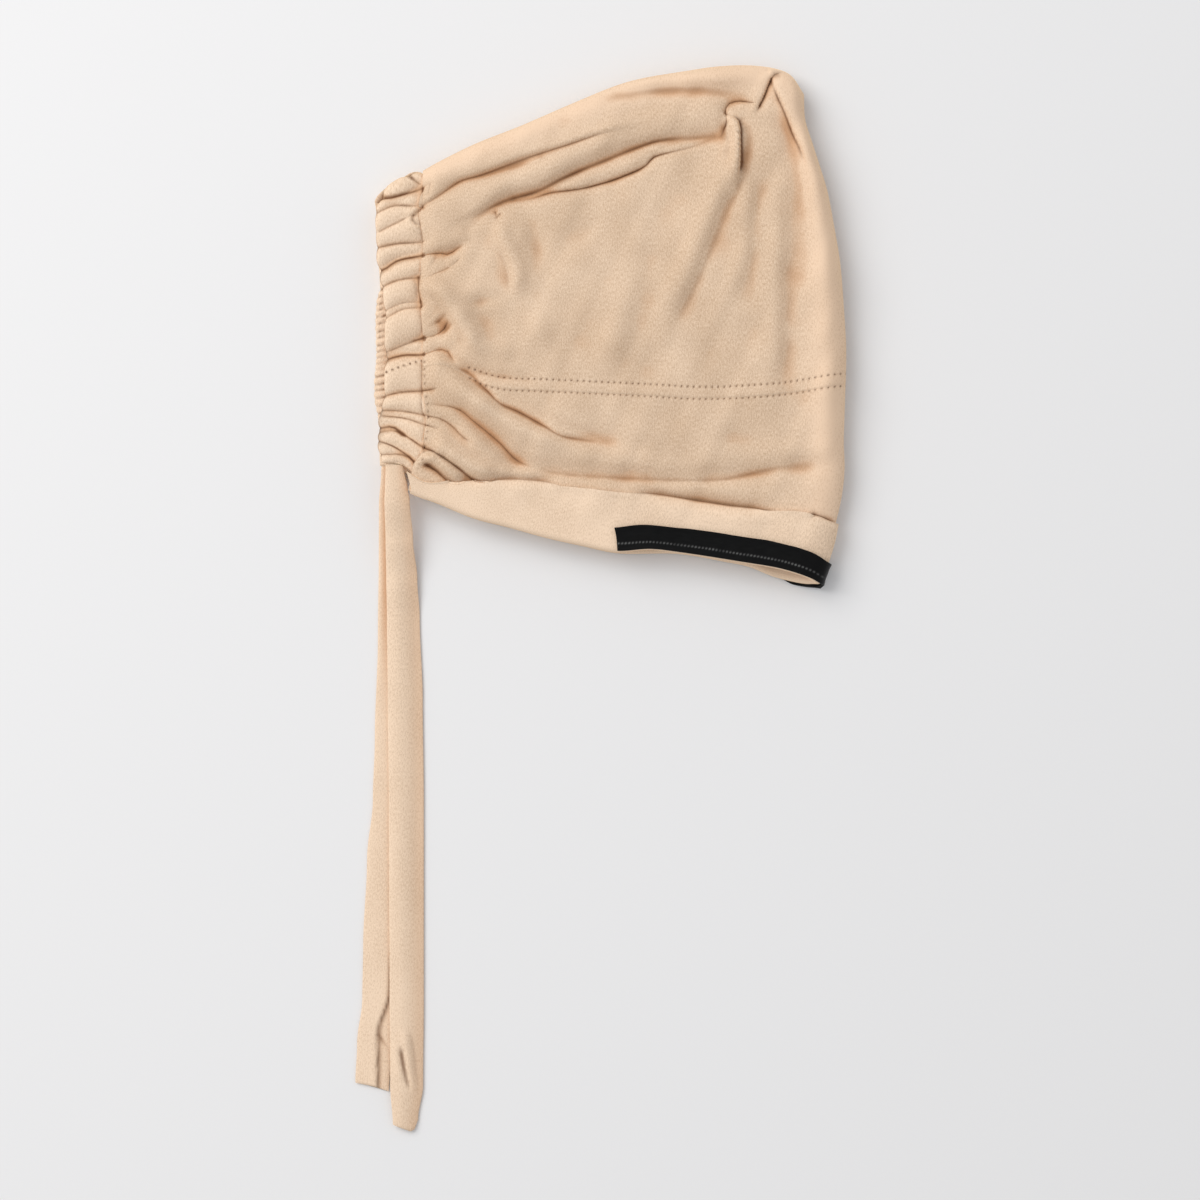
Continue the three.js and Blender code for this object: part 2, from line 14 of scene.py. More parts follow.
import bpy
import numpy as np
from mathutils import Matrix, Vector


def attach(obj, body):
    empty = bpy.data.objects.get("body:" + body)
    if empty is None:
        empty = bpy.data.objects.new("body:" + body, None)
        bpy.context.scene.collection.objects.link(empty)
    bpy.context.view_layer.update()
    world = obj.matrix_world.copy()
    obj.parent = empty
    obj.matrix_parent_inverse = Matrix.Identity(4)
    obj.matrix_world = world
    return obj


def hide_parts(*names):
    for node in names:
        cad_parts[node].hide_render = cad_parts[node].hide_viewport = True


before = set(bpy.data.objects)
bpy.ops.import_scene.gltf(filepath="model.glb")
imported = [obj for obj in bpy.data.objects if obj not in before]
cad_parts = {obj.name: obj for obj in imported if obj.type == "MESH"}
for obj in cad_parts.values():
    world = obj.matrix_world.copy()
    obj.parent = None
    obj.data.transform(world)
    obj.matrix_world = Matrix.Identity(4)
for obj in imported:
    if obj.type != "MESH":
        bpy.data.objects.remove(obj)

Array = np.ndarray
Places = Sequence[tuple[float, float]]

MM = 0.001
LOG = logging.getLogger("turban_cap")

# Driving sizes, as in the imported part.
JERSEY = 1.2
STRIP = 1.0
CASING = 5.2
TIE = 2.0
CLEARANCE = 0.3
FOLD_HEIGHT = 8.0
FRONT_ROLL = 11.0
TOP_ROLL = 8.0
CASING_NEAR = 13.4
CASING_FAR = CASING / 2
HEM_LIP = 3.0
STRIP_RISE = 0.6
STRIP_START = 0.478
CAP_WIDTH = 190.0
CASING_REACH = 8.0
RIM_REACH = 24.0
BODY_AT_CASING = 14.7  # the near cloth's height where it is sewn to the casing
SEAM_LAP = 3.2  # the crown lies this far down over the panel
HEM_OFFSET = JERSEY + CLEARANCE
STRIP_OFFSET = HEM_OFFSET + JERSEY / 2 + CLEARANCE + STRIP / 2

# Outlines seen from above, [across, up].
SEAM = (
    (-81.4, 109.5), (-71.3, 109.9), (-59.8, 104), (-46, 99.4), (-27.6, 98.4), (0, 97.1),
    (27.6, 95.7), (46, 94.8), (64.4, 95.2), (82.8, 96.6), (101.2, 99.4), (112.4, 101.2),
)
TOP_FOLD = (
    (-81, 196.9), (-74.5, 200.6), (-58, 208.8), (-35.9, 217.6), (-13.8, 227.2), (8.3, 236.2),
    (19.3, 239.2), (41.4, 242.9), (54, 244.7), (69, 245.2), (80, 243.8), (87, 241), (93.2, 232.4),
)
FRONT_FOLD_UPPER = (
    (112.4, 101.2), (112.6, 116), (111.3, 138), (109.9, 154.6), (107.2, 171.1), (104, 187.7),
    (100.7, 198.7), (97.1, 209.8), (93.8, 220.8), (93.2, 232.4),
)
LAP_LINE = (
    (-81.3, 106.3), *((across, up - SEAM_LAP) for across, up in SEAM[1:-1]), (112.2, 98.2))
FRONT_FOLD_LOWER = (
    (99.6, 7.8), (102.8, 16.6), (106.2, 27.6), (107.7, 35), (109.2, 41), (110.9, 49.7),
    (111.9, 60.7), (111.5, 72), (111.8, 82.8), (112.4, 101.2),
)
CASING_SEAM_UPPER = (
    (-81.4, 109.5), (-81, 119.6), (-81.9, 133.4), (-82.8, 144.9), (-81, 164.2), (-83.2, 181.7),
    (-81.4, 188.6), (-81, 196.9),
)
CASING_SEAM_LOWER = (
    (-85, 48.6), (-83.3, 56.1), (-82.3, 64.4), (-79.8, 82.8), (-81.2, 96.6), (-81.4, 109.5),
)
NEAR_RIM = (
    (-85, 48.6), (-74.5, 44.6), (-58, 37.9), (-41.4, 33.6), (-24.8, 29), (-8.3, 25.3),
    (7.4, 22.4), (23, 23.3), (35.9, 21.9), (64.4, 17.5), (82.8, 14.3), (95.9, 10.1), (99.6, 7.8),
)
FAR_RIM = (
    (-85, 48.6), (-74.5, 44.6), (-58, 37.9), (-41.4, 33.6), (-24.8, 29), (-8.3, 25.3), (7.4, 22),
    (35.9, 21.6), (58, 17.9), (69, 15.6), (80, 11.2), (94, 7.9), (99.6, 7.8),
)
HEM_TOP = (
    (-83.9, 53.2), (-72.2, 53.8), (-55.2, 53.8), (-27.6, 52.9), (0, 50.1), (36.8, 45.1),
    (64.4, 40.9), (92, 40.2), (102.5, 37.2), (107.7, 35),
)
STRIP_TOP = (
    (6.6, 32.4), (18.4, 34), (36.8, 32.7), (64.4, 29), (82.8, 25.8), (97, 21.8), (102.9, 17.4),
)
CASING_NEAR_EDGE = (
    (-99.6, 63), (-101.7, 71.3), (-101.2, 82.8), (-98.9, 94.3), (-98.4, 115), (-98.9, 138),
    (-100.7, 147.2), (-102.2, 158.7), (-102.6, 172), (-102.9, 182.5),
)
CASING_FAR_EDGE = (
    (-101.6, 62), (-101.9, 80), (-104, 94), (-103.2, 115), (-103.2, 138), (-101.4, 145),
    (-102.4, 158.7), (-102.8, 172), (-102.9, 182.5),
)
CASING_LAP = 0.7  # the casing's inner edge lies this far over the body's edge, where it is sewn
CASING_TOP_FOLD = ((-102.9, 182.5), (-97.6, 187.2), (-90.6, 191.2), (-85.8, 194.6), (-80.8, 195.2))
CASING_INNER_EDGE = tuple(
    (across + CASING_LAP, up) for across, up in CASING_SEAM_LOWER[1:] + CASING_SEAM_UPPER[1:-1]
) + CASING_TOP_FOLD[-1:]
CASING_END = ((-99.6, 63), (-92, 62.3), (-83.75, 56.1))
CASING_FAR_END = ((-101.6, 62), (-94, 60.5), (-83.75, 56.1))

# The middle of the near half at its level stretch: up, height.
NEAR_LEVELS = ((0, 13), (40, 13.2), (100, 15.2), (150, 16.6), (200, 16), (245, 15))

# The ties from the casing to their free ends: up, left edge, right edge, left and right heights.
NEAR_TIE = (
    (68, -98, -91.6, 11.2, 11.2), (61.6, -98.4, -90.2, 11.6, 11.6), (50.6, -98.7, -88.2, 12.4, 12),
    (46, -98.9, -87.3, 12.4, 11.6), (27.6, -98.6, -86, 8.6, 7.4),
    (10, -98.5, -84.3, 5, 3.2), (-8, -98.3, -83.3, 3.5, 1), (-46, -98, -81.9, 3.3, 1),
    (-92, -97.5, -81.4, 3.3, 1), (-184, -97.1, -81.4, 3.3, 1), (-224, -96.8, -81.7, 3.3, 1),
    (-241.6, -95.6, -84, 2.4, 1),
)
FAR_TIE = (
    (66, -100.4, -92, 2.6, 2.6), (59, -101, -91.4, 2.6, 2.6), (44, -102.1, -91, 1.6, 1.6),
    (20, -102.2, -91.6, 1, 1),
    (-18, -102.6, -92, 1, 1), (-64, -104, -92.4, 1, 1), (-92, -104.9, -92.8, 1, 1),
    (-119.6, -107.6, -93, 1, 1), (-160, -109.4, -93.4, 1, 1), (-184, -109.8, -94, 1, 1),
    (-205, -112.2, -95.6, 1, 1), (-224.6, -113, -97.6, 1, 1),
)

# The photograph: how much of the table a pixel covers, and its middle pixel.
PHOTO_MM = 0.46
PHOTO_MIDDLE = 600.0


def photo(*pixels: tuple[float, float]) -> Places:
    """Turns places read off the photograph into millimetres over the table.

    Args:
        pixels: Columns and rows counted from the photograph's top left corner.

    Returns:
        The same places as [across, up].
    """
    return tuple(((x - PHOTO_MIDDLE) * PHOTO_MM, (PHOTO_MIDDLE - y) * PHOTO_MM) for x, y in pixels)


def clamped(value: Array) -> Array:
    """Holds a value between 0 and 1."""
    return np.clip(value, 0.0, 1.0)


def mix(start: Array | float, end: Array | float, share: Array | float) -> Array:
    """Goes from start to end by a share: start + (end - start) * share."""
    return start + (end - start) * share


def ease(value: Array) -> Array:
    """Eases from 0 to 1: 3 t^2 - 2 t^3 with t held between 0 and 1."""
    t = clamped(value)
    return t * t * (3 - 2 * t)


def rounded(distance: Array, reach: float) -> Array:
    """Is 0 at a fold and 1 from `reach` inwards, along a quarter of an ellipse."""
    return np.sqrt(1 - (1 - clamped(distance / reach)) ** 2)


def folded(height: Array, roundness: Array) -> Array:
    """Brings a height to the fold between the two halves where the roundness is 0."""
    return FOLD_HEIGHT + (height - FOLD_HEIGHT) * roundness


def unit(vectors: Array) -> Array:
    """Scales vectors to the length 1."""
    return vectors / np.maximum(np.linalg.norm(vectors, axis=-1, keepdims=True), 1e-9)


class Line:
    """A smooth line through places, read by its share of the length.

    Between two places it is the centripetal Catmull-Rom cubic: the Hermite cubic whose slopes come
    from knots spaced by the square root of the distance between the places.
    """

    STEPS = 24

    def __init__(self, places: Places) -> None:
        """Samples the cubics between the places and adds up their length.

        Args:
            places: Two or more [across, up] places.
        """
        inner = np.asarray(places, float)
        knots = np.vstack([2 * inner[0] - inner[1], inner, 2 * inner[-1] - inner[-2]])
        gaps = np.sqrt(np.linalg.norm(np.diff(knots, axis=0), axis=1))[:, None]
        p0, p1, p2, p3 = (knots[k:len(knots) - 3 + k] for k in range(4))
        d0, d1, d2 = (gaps[k:len(gaps) - 2 + k] for k in range(3))
        leave = ((p1 - p0) / d0 - (p2 - p0) / (d0 + d1) + (p2 - p1) / d1) * d1
        arrive = ((p2 - p1) / d1 - (p3 - p1) / (d1 + d2) + (p3 - p2) / d2) * d1
        t = np.linspace(0, 1, self.STEPS, endpoint=False)[None, :, None]
        p1, p2, leave, arrive = (part[:, None] for part in (p1, p2, leave, arrive))
        cubic = ((2 * t**3 - 3 * t**2 + 1) * p1 + (t**3 - 2 * t**2 + t) * leave
                 + (3 * t**2 - 2 * t**3) * p2 + (t**3 - t**2) * arrive)
        self.places = np.vstack([cubic.reshape(-1, 2), inner[-1:]])
        steps = np.linalg.norm(np.diff(self.places, axis=0), axis=1)
        self.travelled = np.concatenate([[0.0], np.cumsum(steps)])

    @property
    def length(self) -> float:
        """The line's whole length."""
        return float(self.travelled[-1])

    def at(self, share: Array) -> Array:
        """Reads the places at shares of the length, with the last axis [across, up]."""
        wanted = clamped(np.asarray(share, float)) * self.length
        return np.stack([np.interp(wanted, self.travelled, self.places[:, k]) for k in (0, 1)], -1)


class Patch:
    """A patch stretched between four lines, by Coons: the lower and upper lines mixed by v, plus
    the left and right lines mixed by u, less the four corners mixed by both."""

    def __init__(self, lower: Places, upper: Places, left: Places, right: Places) -> None:
        """Keeps the four lines: left and right run up, lower and upper run across."""
        self.lines = [Line(places) for places in (lower, upper, left, right)]

    def at(self, u: Array, v: Array) -> Array:
        """Reads the patch, u across and v up, with the last axis [across, up].

        Args:
            u: Shares across.
            v: Shares up.

        Returns:
            The places.
        """
        lower, upper, left, right = self.lines
        across, up = u[..., None], v[..., None]
        rows = mix(lower.at(u), upper.at(u), up)
        columns = mix(left.at(v), right.at(v), across)
        low = mix(lower.at(0.0), lower.at(1.0), across)
        high = mix(upper.at(0.0), upper.at(1.0), across)
        return rows + columns - mix(low, high, up)


@dataclass(frozen=True)
class Nearest:
    """How some places lie to a line: which of all places they are, how far off it, how far to its
    left, and how far along it."""

    places: Array
    distance: Array
    side: Array
    along: Array


def nearest_on(places: Places, margin: float, x: Array, y: Array, spacing: float = 2.5) -> Nearest:
    """Finds the nearest point of a smooth line for every place that is near it.

    Args:
        places: The line's own places.
        margin: How far from the line's box a place may lie.
        x: Where the places are, across.
        y: Where the places are, up.
        spacing: The length of the straight pieces that stand for the line.

    Returns:
        What lies within the margin, with `along` in millimetres.
    """
    smooth = Line(places)
    line = smooth.at(np.linspace(0, 1, max(3, int(smooth.length / spacing))))
    low, high = line.min(0) - margin, line.max(0) + margin
    near = (x > low[0]) & (x < high[0]) & (y > low[1]) & (y < high[1])
    away = np.stack([x[near], y[near]], -1)[:, None] - line[:-1]
    run = np.diff(line, axis=0)
    share = clamped((away * run).sum(-1) / (run**2).sum(-1))
    distance = np.linalg.norm(away - share[..., None] * run, axis=-1)
    side = (run[:, 0] * away[..., 1] - run[:, 1] * away[..., 0]) / np.linalg.norm(run, axis=-1)
    nearest = distance.argmin(1) if near.any() else np.zeros(0, int)
    pick = np.arange(len(nearest)), nearest
    along = (nearest + share[pick]) * smooth.length / len(run)
    return Nearest(near, distance[pick], side[pick], along)


@dataclass(frozen=True)
class Fold:
    """A fold across the near cloth: a line with a rise and a reach to its left and to its right.

    The cloth rises by rise * exp(-(distance / reach) ** power). Rise and reach pass from the right
    side's to the left side's over `crisp`, so two opposite rises make cloth that lies over cloth.
    `ends` is the share of the rise that is left at the line's two ends, to which it falls over
    1 / `taper` of the line.
    """

    line: Places
    left: tuple[float, float]
    right: tuple[float, float]
    crisp: float = 0.8
    power: float = 2.0
    ends: tuple[float, float] = (0.0, 0.0)
    taper: float = 4.0

    FARTHEST = 2.6

    def add_to(self, rise: Array, x: Array, y: Array) -> None:
        """Adds the fold to the places within its reach.

        Args:
            rise: The rises so far, which are added to.
            x: Where the places are, across.
            y: Where the places are, up.
        """
        farthest = self.FARTHEST * max(self.left[1], self.right[1]) * (2 / self.power)
        found = nearest_on(self.line, farthest, x, y)
        along = found.along / Line(self.line).length
        fade = (mix(self.ends[0], 1, ease(self.taper * along))
                * mix(self.ends[1], 1, ease(self.taper * (1 - along))))
        leftness = 0.5 + 0.5 * np.tanh(found.side / self.crisp)
        height = mix(self.right[0], self.left[0], leftness)
        reach = mix(self.right[1], self.left[1], leftness)
        rise[found.places] += height * fade * np.exp(-(found.distance / reach) ** self.power)


def main_fold(rise: float, reach: float, *line: tuple[float, float]) -> Fold:
    """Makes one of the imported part's folds, alike on both sides, with a third left at its ends."""
    return Fold(line, (rise, reach), (rise, reach), ends=(0.35, 0.35))


def crease(depth: float, reach: float, *pixels: tuple[float, float],
           ends: tuple[float, float] = (1.0, 0.0)) -> Fold:
    """Makes a gather: a sharp groove between two swells, traced on the photograph."""
    return Fold(photo(*pixels), (-depth, reach), (-depth, reach), power=1.0, ends=ends)


def lap(rise: float, reach: float, drop: float, behind: float, *pixels: tuple[float, float],
        crisp: float = 0.7, ends: tuple[float, float] = (0.0, 0.0)) -> Fold:
    """Makes cloth lying over cloth, high to the left of a line traced on the photograph."""
    return Fold(photo(*pixels), (rise, reach), (-drop, behind), crisp=crisp, ends=ends)


def swell(rise: float, left: float, right: float, *pixels: tuple[float, float],
          ends: tuple[float, float] = (0.0, 0.0)) -> Fold:
    """Makes a soft ridge with a reach to each side of a line traced on the photograph."""
    return Fold(photo(*pixels), (rise, left), (rise, right), crisp=1.5, ends=ends)


def dimple(rise: float, left: float, right: float, *pixels: tuple[float, float]) -> Fold:
    """Makes a short ridge, or a hollow where `rise` is below 0, that fades all along its line."""
    return Fold(photo(*pixels), (rise, left), (rise, right), crisp=1.5, taper=1.8)


MAIN_FOLDS = (
    main_fold(2.6, 7, (87, 229), (94.8, 207), (102, 166), (104.6, 120), (104.6, 80), (100, 40)),
    main_fold(-2.4, 5, (80.5, 227), (87.4, 209), (91.4, 192), (92.2, 177)),
    main_fold(-1.3, 7, (92.2, 177), (91, 160), (87.6, 130), (86, 96)),
    main_fold(1.8, 4, (6, 233.5), (27.6, 238.3), (46, 239.6), (66, 240), (78, 237.4)),
    main_fold(-2.1, 4.2, (-4, 228), (18.4, 233), (46, 233), (60, 231), (73, 227)),
    main_fold(-1.2, 2.6, (84, 240), (77, 237), (73, 227)),
    main_fold(3, 3.6, (58, 222), (63.4, 214), (63, 202), (60, 188)),
    main_fold(-1.2, 2.6, (64, 229), (57.6, 223), (56, 212)),
    main_fold(-0.8, 4, (68, 224), (67.6, 206), (66, 189)),
    main_fold(2.4, 5, (60, 207), (55, 186), (45.5, 161), (29, 121)),
    main_fold(1.6, 4, (68, 198), (67.5, 184), (65, 150)),
    main_fold(1.8, 4.6, (81.4, 188), (81, 147), (80.6, 96)),
    main_fold(1.4, 6, (20.7, 168), (13, 140), (3, 108)),
    main_fold(-2, 3, (-82, 179.5), (-66, 191), (-46, 196.4), (-27.6, 202)),
    main_fold(-2.4, 3.2, (-60, 170), (-46, 182.6), (-27.6, 187.7), (0, 202), (27.6, 211),
              (56, 213)),
    main_fold(1.8, 4.5, (-60, 184), (-36, 194), (-10, 206), (14, 218), (50, 222)),
    main_fold(-2, 2.8, (-39, 184), (-10, 189), (16, 197), (26, 204.6), (52, 212)),
    main_fold(-2.2, 3, (-83, 157), (-69.5, 158.6), (-60, 164.4)),
    main_fold(1.8, 6, (-80, 141), (-66, 138), (-54, 117)),
    main_fold(-2.2, 3, (-78, 118), (-64, 107), (-50, 102.6), (-34, 101)),
    main_fold(3.6, 5.5, (-78, 106), (-60, 92), (-36, 79), (-9, 68)),
    main_fold(-3, 4.4, (-61, 104), (-41, 90), (-23, 80.5), (16, 69.5)),
    main_fold(-2.8, 4.4, (-78, 90), (-55, 79), (-40, 65), (-10, 59), (40, 56.4), (101, 62)),
    main_fold(3.2, 5, (-78, 78), (-67, 66), (-46, 58)),
)

# Creases that cross the casing and run on into the crown and the panel.
GATHERS = (
    crease(2.2, 2.2, (374, 201), (378, 199), (393, 198), (420, 191), (428, 187), ends=(1, 0.4)),
    crease(1.2, 1.8, (408, 177), (412, 180), (418, 183), (423, 187), ends=(0.6, 0.4)),
    swell(1.3, 2.2, 2.2, (378, 193), (392, 190), (405, 185), (414, 184)),
    crease(1.6, 2.0, (423, 184), (424, 196), (423, 210), (426, 214), ends=(0.3, 0.3)),
    crease(1.0, 1.6, (432, 182), (431, 190), (428, 199), ends=(0.3, 0.3)),
    crease(1.5, 2.2, (378, 214), (395, 207), (419, 207), (430, 203), ends=(1, 0)),
    crease(1.3, 2.0, (380, 233), (398, 224), (413, 217), (420, 216), ends=(1, 0.2)),
    lap(0.9, 2.6, 0.7, 2.2, (428, 226), (418, 228), (411, 220), (417, 212), (428, 205)),
    crease(1.7, 2.2, (378, 249), (398, 245), (424, 243), (434, 240), ends=(1, 0)),
    crease(3.0, 2.2, (376, 273), (385, 270), (398, 262), (422, 257), (441, 254), (449, 255.5),
           (457, 250.5), (468, 245)),
    swell(-1.2, 3, 4, (430, 262), (442, 266), (450, 262)),
    crease(1.7, 2.2, (380, 289), (400, 281), (418, 279), (426, 280)),
    crease(2.4, 1.5, (419, 278), (420, 292), (422, 309), ends=(0.8, 0.5)),
    crease(1.0, 1.6, (385, 312), (404, 304), (422, 303), ends=(1, 0.5)),
    crease(1.3, 1.8, (387, 319), (404, 310), (422, 308), (432, 303)),
    crease(1.5, 1.8, (384, 353), (389, 352), (404, 346), (417, 341), (424, 339), ends=(0.8, 1)),
    crease(2.4, 2.2, (415, 341), (424, 339), (437, 336), (446, 328), (450, 318), ends=(0.4, 0)),
    crease(2.8, 2.2, (384, 361), (404, 356), (424, 355.5), (433, 353), (440, 350.7), (448, 352),
           (453, 360), (458, 368)),
    crease(1.8, 2.0, (383, 397.5), (402, 393), (424, 391.7), (433, 390), (444, 387)),
    crease(1.6, 1.7, (380, 411), (402, 411.7), (426, 416), (440, 419)),
    crease(1.7, 1.7, (383, 416.5), (406, 419), (427, 426), (446, 431)),
    crease(2.6, 2.2, (378, 429), (393, 427.6), (404, 434.6), (412, 440), (424, 448), (437, 454),
           (448, 461), (459, 469.5), (470, 478), (477, 483.5)),
    crease(1.3, 1.5, (378, 433), (395, 431.4), (409, 439)),
    crease(2.2, 1.9, (376, 441), (391, 445.5), (404, 453), (414, 461), (419.5, 472), (424, 478)),
    crease(1.6, 1.6, (379, 455), (387, 455), (402, 455), (413, 461), (418.5, 474)),
    crease(1.5, 1.6, (398, 462), (404, 465), (411, 472), (420, 481), ends=(0.6, 0.6)),
    crease(0.8, 0.8, (424, 190), (419.5, 205), (422, 230), (424, 243), (423, 258), (421, 282),
           (420.5, 290), (422, 308), (421.5, 315), (423, 330), (424, 340), (423.5, 365), (423, 390),
           (422.5, 410), (426, 420), (424, 447), (421, 460), (419, 478), ends=(1, 1)),
)

# The crown's and the panel's finer folds, from the casing towards the front fold.
FINE_FOLDS = (
    lap(1.2, 6, 1.2, 4, (420, 208), (440, 195), (460, 181), (480, 175), (520, 160), (560, 148),
        (600, 135), (640, 128), ends=(0.8, 0)),
    lap(1.2, 7, 1.8, 5, (440, 235), (460, 222), (480, 212), (500, 202), (540, 188), (560, 178),
        (600, 162), (640, 146), (660, 140), (700, 137), (722, 136), crisp=1.4),
    lap(1.0, 4, 1.2, 3, (500, 203), (530, 200), (550, 193), (580, 189), (600, 184), (625, 175),
        (645, 166), (652, 158), (670, 153), (690, 148), (722, 137)),
    crease(1.5, 1.8, (495, 210), (498, 221), (503, 213), ends=(0, 0)),
    crease(1.6, 2.4, (424, 281), (439, 274.6), (452, 268), (459, 261.5), (466, 254), ends=(0.6, 0)),
    swell(2.3, 4, 3.4, (498, 214), (504, 240), (513, 258), (518, 274), (519, 290), (523, 304)),
    dimple(-2.0, 5, 4.5, (517, 196), (532, 228), (538, 256), (541, 300)),
    dimple(-0.7, 3, 4.5, (500, 248), (505, 276), (509, 312)),
    dimple(-1.6, 3.4, 3.4, (450, 305), (480, 303), (510, 296)),
    dimple(-1.8, 6, 5, (462, 306), (484, 324), (500, 352)),
    dimple(1.2, 5, 5, (520, 316), (540, 330), (552, 356)),
    swell(3.3, 4.6, 3.2, (424, 289), (438, 291), (448, 302), (455, 313), (462, 325), (471, 338.5),
          (484, 356), ends=(0.5, 0)),
    swell(-1.8, 4, 4, (436, 318), (443, 326), (452, 334)),
    dimple(-1.2, 4, 4, (440, 304), (431, 320), (427, 336)),
    swell(1.2, 4, 5, (455, 345), (475, 350), (500, 352), (520, 358)),
    dimple(-1.1, 4, 6, (610, 200), (582, 238), (548, 262)),
    dimple(-1.3, 5, 5, (622, 170), (616, 192), (610, 214)),
    swell(1.8, 9, 6, (722, 150), (712, 190), (700, 220), (690, 250), (675, 280), (655, 340)),
    swell(-1.6, 4, 6, (738, 170), (735, 190), (722, 217), (708, 250), (695, 280), (662, 345)),
    swell(1.1, 7, 5, (745, 190), (738, 230), (735, 310)),
    swell(-1.0, 5, 7, (757, 175), (748, 270), (752, 320)),
    swell(1.2, 7, 6, (765, 240), (764, 300), (767, 360), (762, 430)),
    swell(-0.7, 6, 7, (780, 250), (783, 330), (775, 400)),
    swell(1.0, 9, 7, (630, 250), (620, 300), (600, 370)),
    swell(-1.0, 6, 8, (650, 240), (640, 300), (622, 330)),
    lap(1.5, 5, 1.3, 6, (771, 79), (778, 97), (787, 117), (795, 138), (801, 151), (807, 172),
        crisp=0.5, ends=(0.5, 0)),
    lap(1.2, 3.5, 1.4, 3.5, (758, 106), (763, 95), (768, 82), (772, 75.5), (778, 73.5), (786, 74.5),
        crisp=0.35, ends=(0.8, 0.3)),
    crease(1.6, 1.6, (758, 106), (753, 105), (739, 103), (730, 104.5), (725.5, 108.5),
           (724.5, 115.5), (727, 123), (724.5, 131), (721, 138), ends=(0.8, 0.3)),
    lap(1.8, 4, 2.4, 4.5, (736, 180), (737.5, 168), (738, 151), (737.5, 130), (736, 124),
        (732, 120), (727, 118.5), crisp=0.4, ends=(0.1, 0.3)),
    lap(2.0, 7, 1.9, 4.5, (452, 367), (467, 371), (487, 388), (500, 402), (520, 411), (545, 425),
        (560, 434), (585, 439), (606, 443), crisp=1.1, ends=(0.4, 0)),
    swell(2.0, 4, 5, (428, 367), (446, 369), (459, 380), (478, 398), (505, 411)),
    crease(2.6, 3.4, (432, 405), (444, 406), (461, 410.6), (474, 421.5), (487, 432), (500, 443),
           (518, 461), (540, 470), ends=(0.3, 0)),
    swell(1.9, 4, 4, (428, 410), (448, 414), (461, 424), (478, 440), (496, 452), (518, 464)),
    crease(2.0, 2.6, (427, 417), (441, 419.5), (452, 426), (463, 437), (476, 446), ends=(0.5, 0)),
    lap(0.9, 6, 0.7, 4, (500, 452), (520, 463), (560, 472), (640, 477), (720, 478), (750, 472),
        (775, 466), (820, 462), crisp=1.4),
    swell(2.4, 4, 4, (430, 439), (452, 458), (478, 474), (505, 480)),
    swell(3.8, 2.4, 2.2, (424, 452), (438, 462), (452, 473), (465, 483)),
    crease(4.4, 2.4, (426, 461), (431, 466), (437, 471.5), (449, 483), ends=(0, 1)),
    crease(2.4, 2.4, (437, 452), (450, 461), (462, 469), (474, 480), ends=(0, 1)),
    swell(-2.6, 3.2, 2.4, (446, 481), (470, 481.4), (504, 480.6), (535, 481), (565, 484)),
    swell(-4.4, 4.5, 2.6, (625, 490), (660, 496), (700, 503), (740, 508.5), (785, 511)),
    swell(-0.6, 3, 2.4, (618, 467), (636, 471), (655, 474)),
    swell(-1.7, 2.6, 1.8, (806, 514.5), (820, 519), (837, 524), ends=(0, 0.7)),
    swell(0.5, 4, 4, (700, 452), (760, 452), (840, 452)),
    swell(-0.3, 4, 4, (700, 438), (760, 438), (840, 438)),
)


# The ties' folds, and how far their cut ends reach past the last row: share across, reach.
NEAR_TIE_FOLDS = (
    swell(1.0, 1.3, 2.6, (403, 1025), (408, 1055), (411, 1080), (416, 1100)),
    swell(-0.8, 1.8, 1.2, (399, 1044), (402, 1062), (406, 1080), (411, 1096)),
    swell(0.6, 2, 1.6, (394, 1040), (396, 1065), (400, 1085)),
    swell(-0.35, 3, 3, (413, 520), (415, 620), (416, 760), (416, 980)),
    swell(0.3, 3, 3, (394, 480), (394, 700), (395, 1000)),
)
FAR_TIE_FOLDS = (
    lap(0.35, 3, 0.9, 5, (376, 1099), (376, 1060), (377, 1028), (382, 1014), (387, 1000),
        (388.5, 975), (389, 940), crisp=0.3, ends=(1, 0)),
    crease(0.5, 1.3, (378, 1037), (385, 1047), (391, 1057), ends=(0.5, 0.5)),
    swell(-0.3, 3, 3, (367, 900), (364, 960), (368, 1020)),
)
NEAR_TIP = ((0, 0.6), (0.2, 1.6), (0.7, 3.8), (0.85, 3.0), (1, -1.6))
FAR_TIP = ((0, -1.6), (0.55, 0), (1, 2.4))


def fold_rise(folds: Sequence[Fold], x: Array, y: Array) -> Array:
    """Adds up what a table of folds raises the cloth by at the places x, y.

    Args:
        folds: The folds.
        x: Where the places are, across.
        y: Where the places are, up.

    Returns:
        The rise at each place.
    """
    rise = np.zeros(x.shape)
    for fold in folds:
        fold.add_to(rise, x, y)
    return rise


# Waves of cloth that never lies quite flat: wave lengths across and up, how far along, height.
SLACK = (
    (61, 43, 0.3, 0.42), (-37, 55, 1.9, 0.3), (29, 83, 4.1, 0.22), (-71, 23, 2.6, 0.16),
    (19, -31, 5.3, 0.13), (47, 17, 0.9, 0.11), (-13, 27, 3.4, 0.07), (23, 11, 2.2, 0.05),
    (9, -19, 1.1, 0.035),
)


def slack(x: Array, y: Array) -> Array:
    """Adds up slow waves: height * sin(2 pi (x / length across + y / length up) + phase)."""
    return sum(height * np.sin(2 * np.pi * (x / across + y / up) + phase)
               for across, up, phase, height in SLACK)


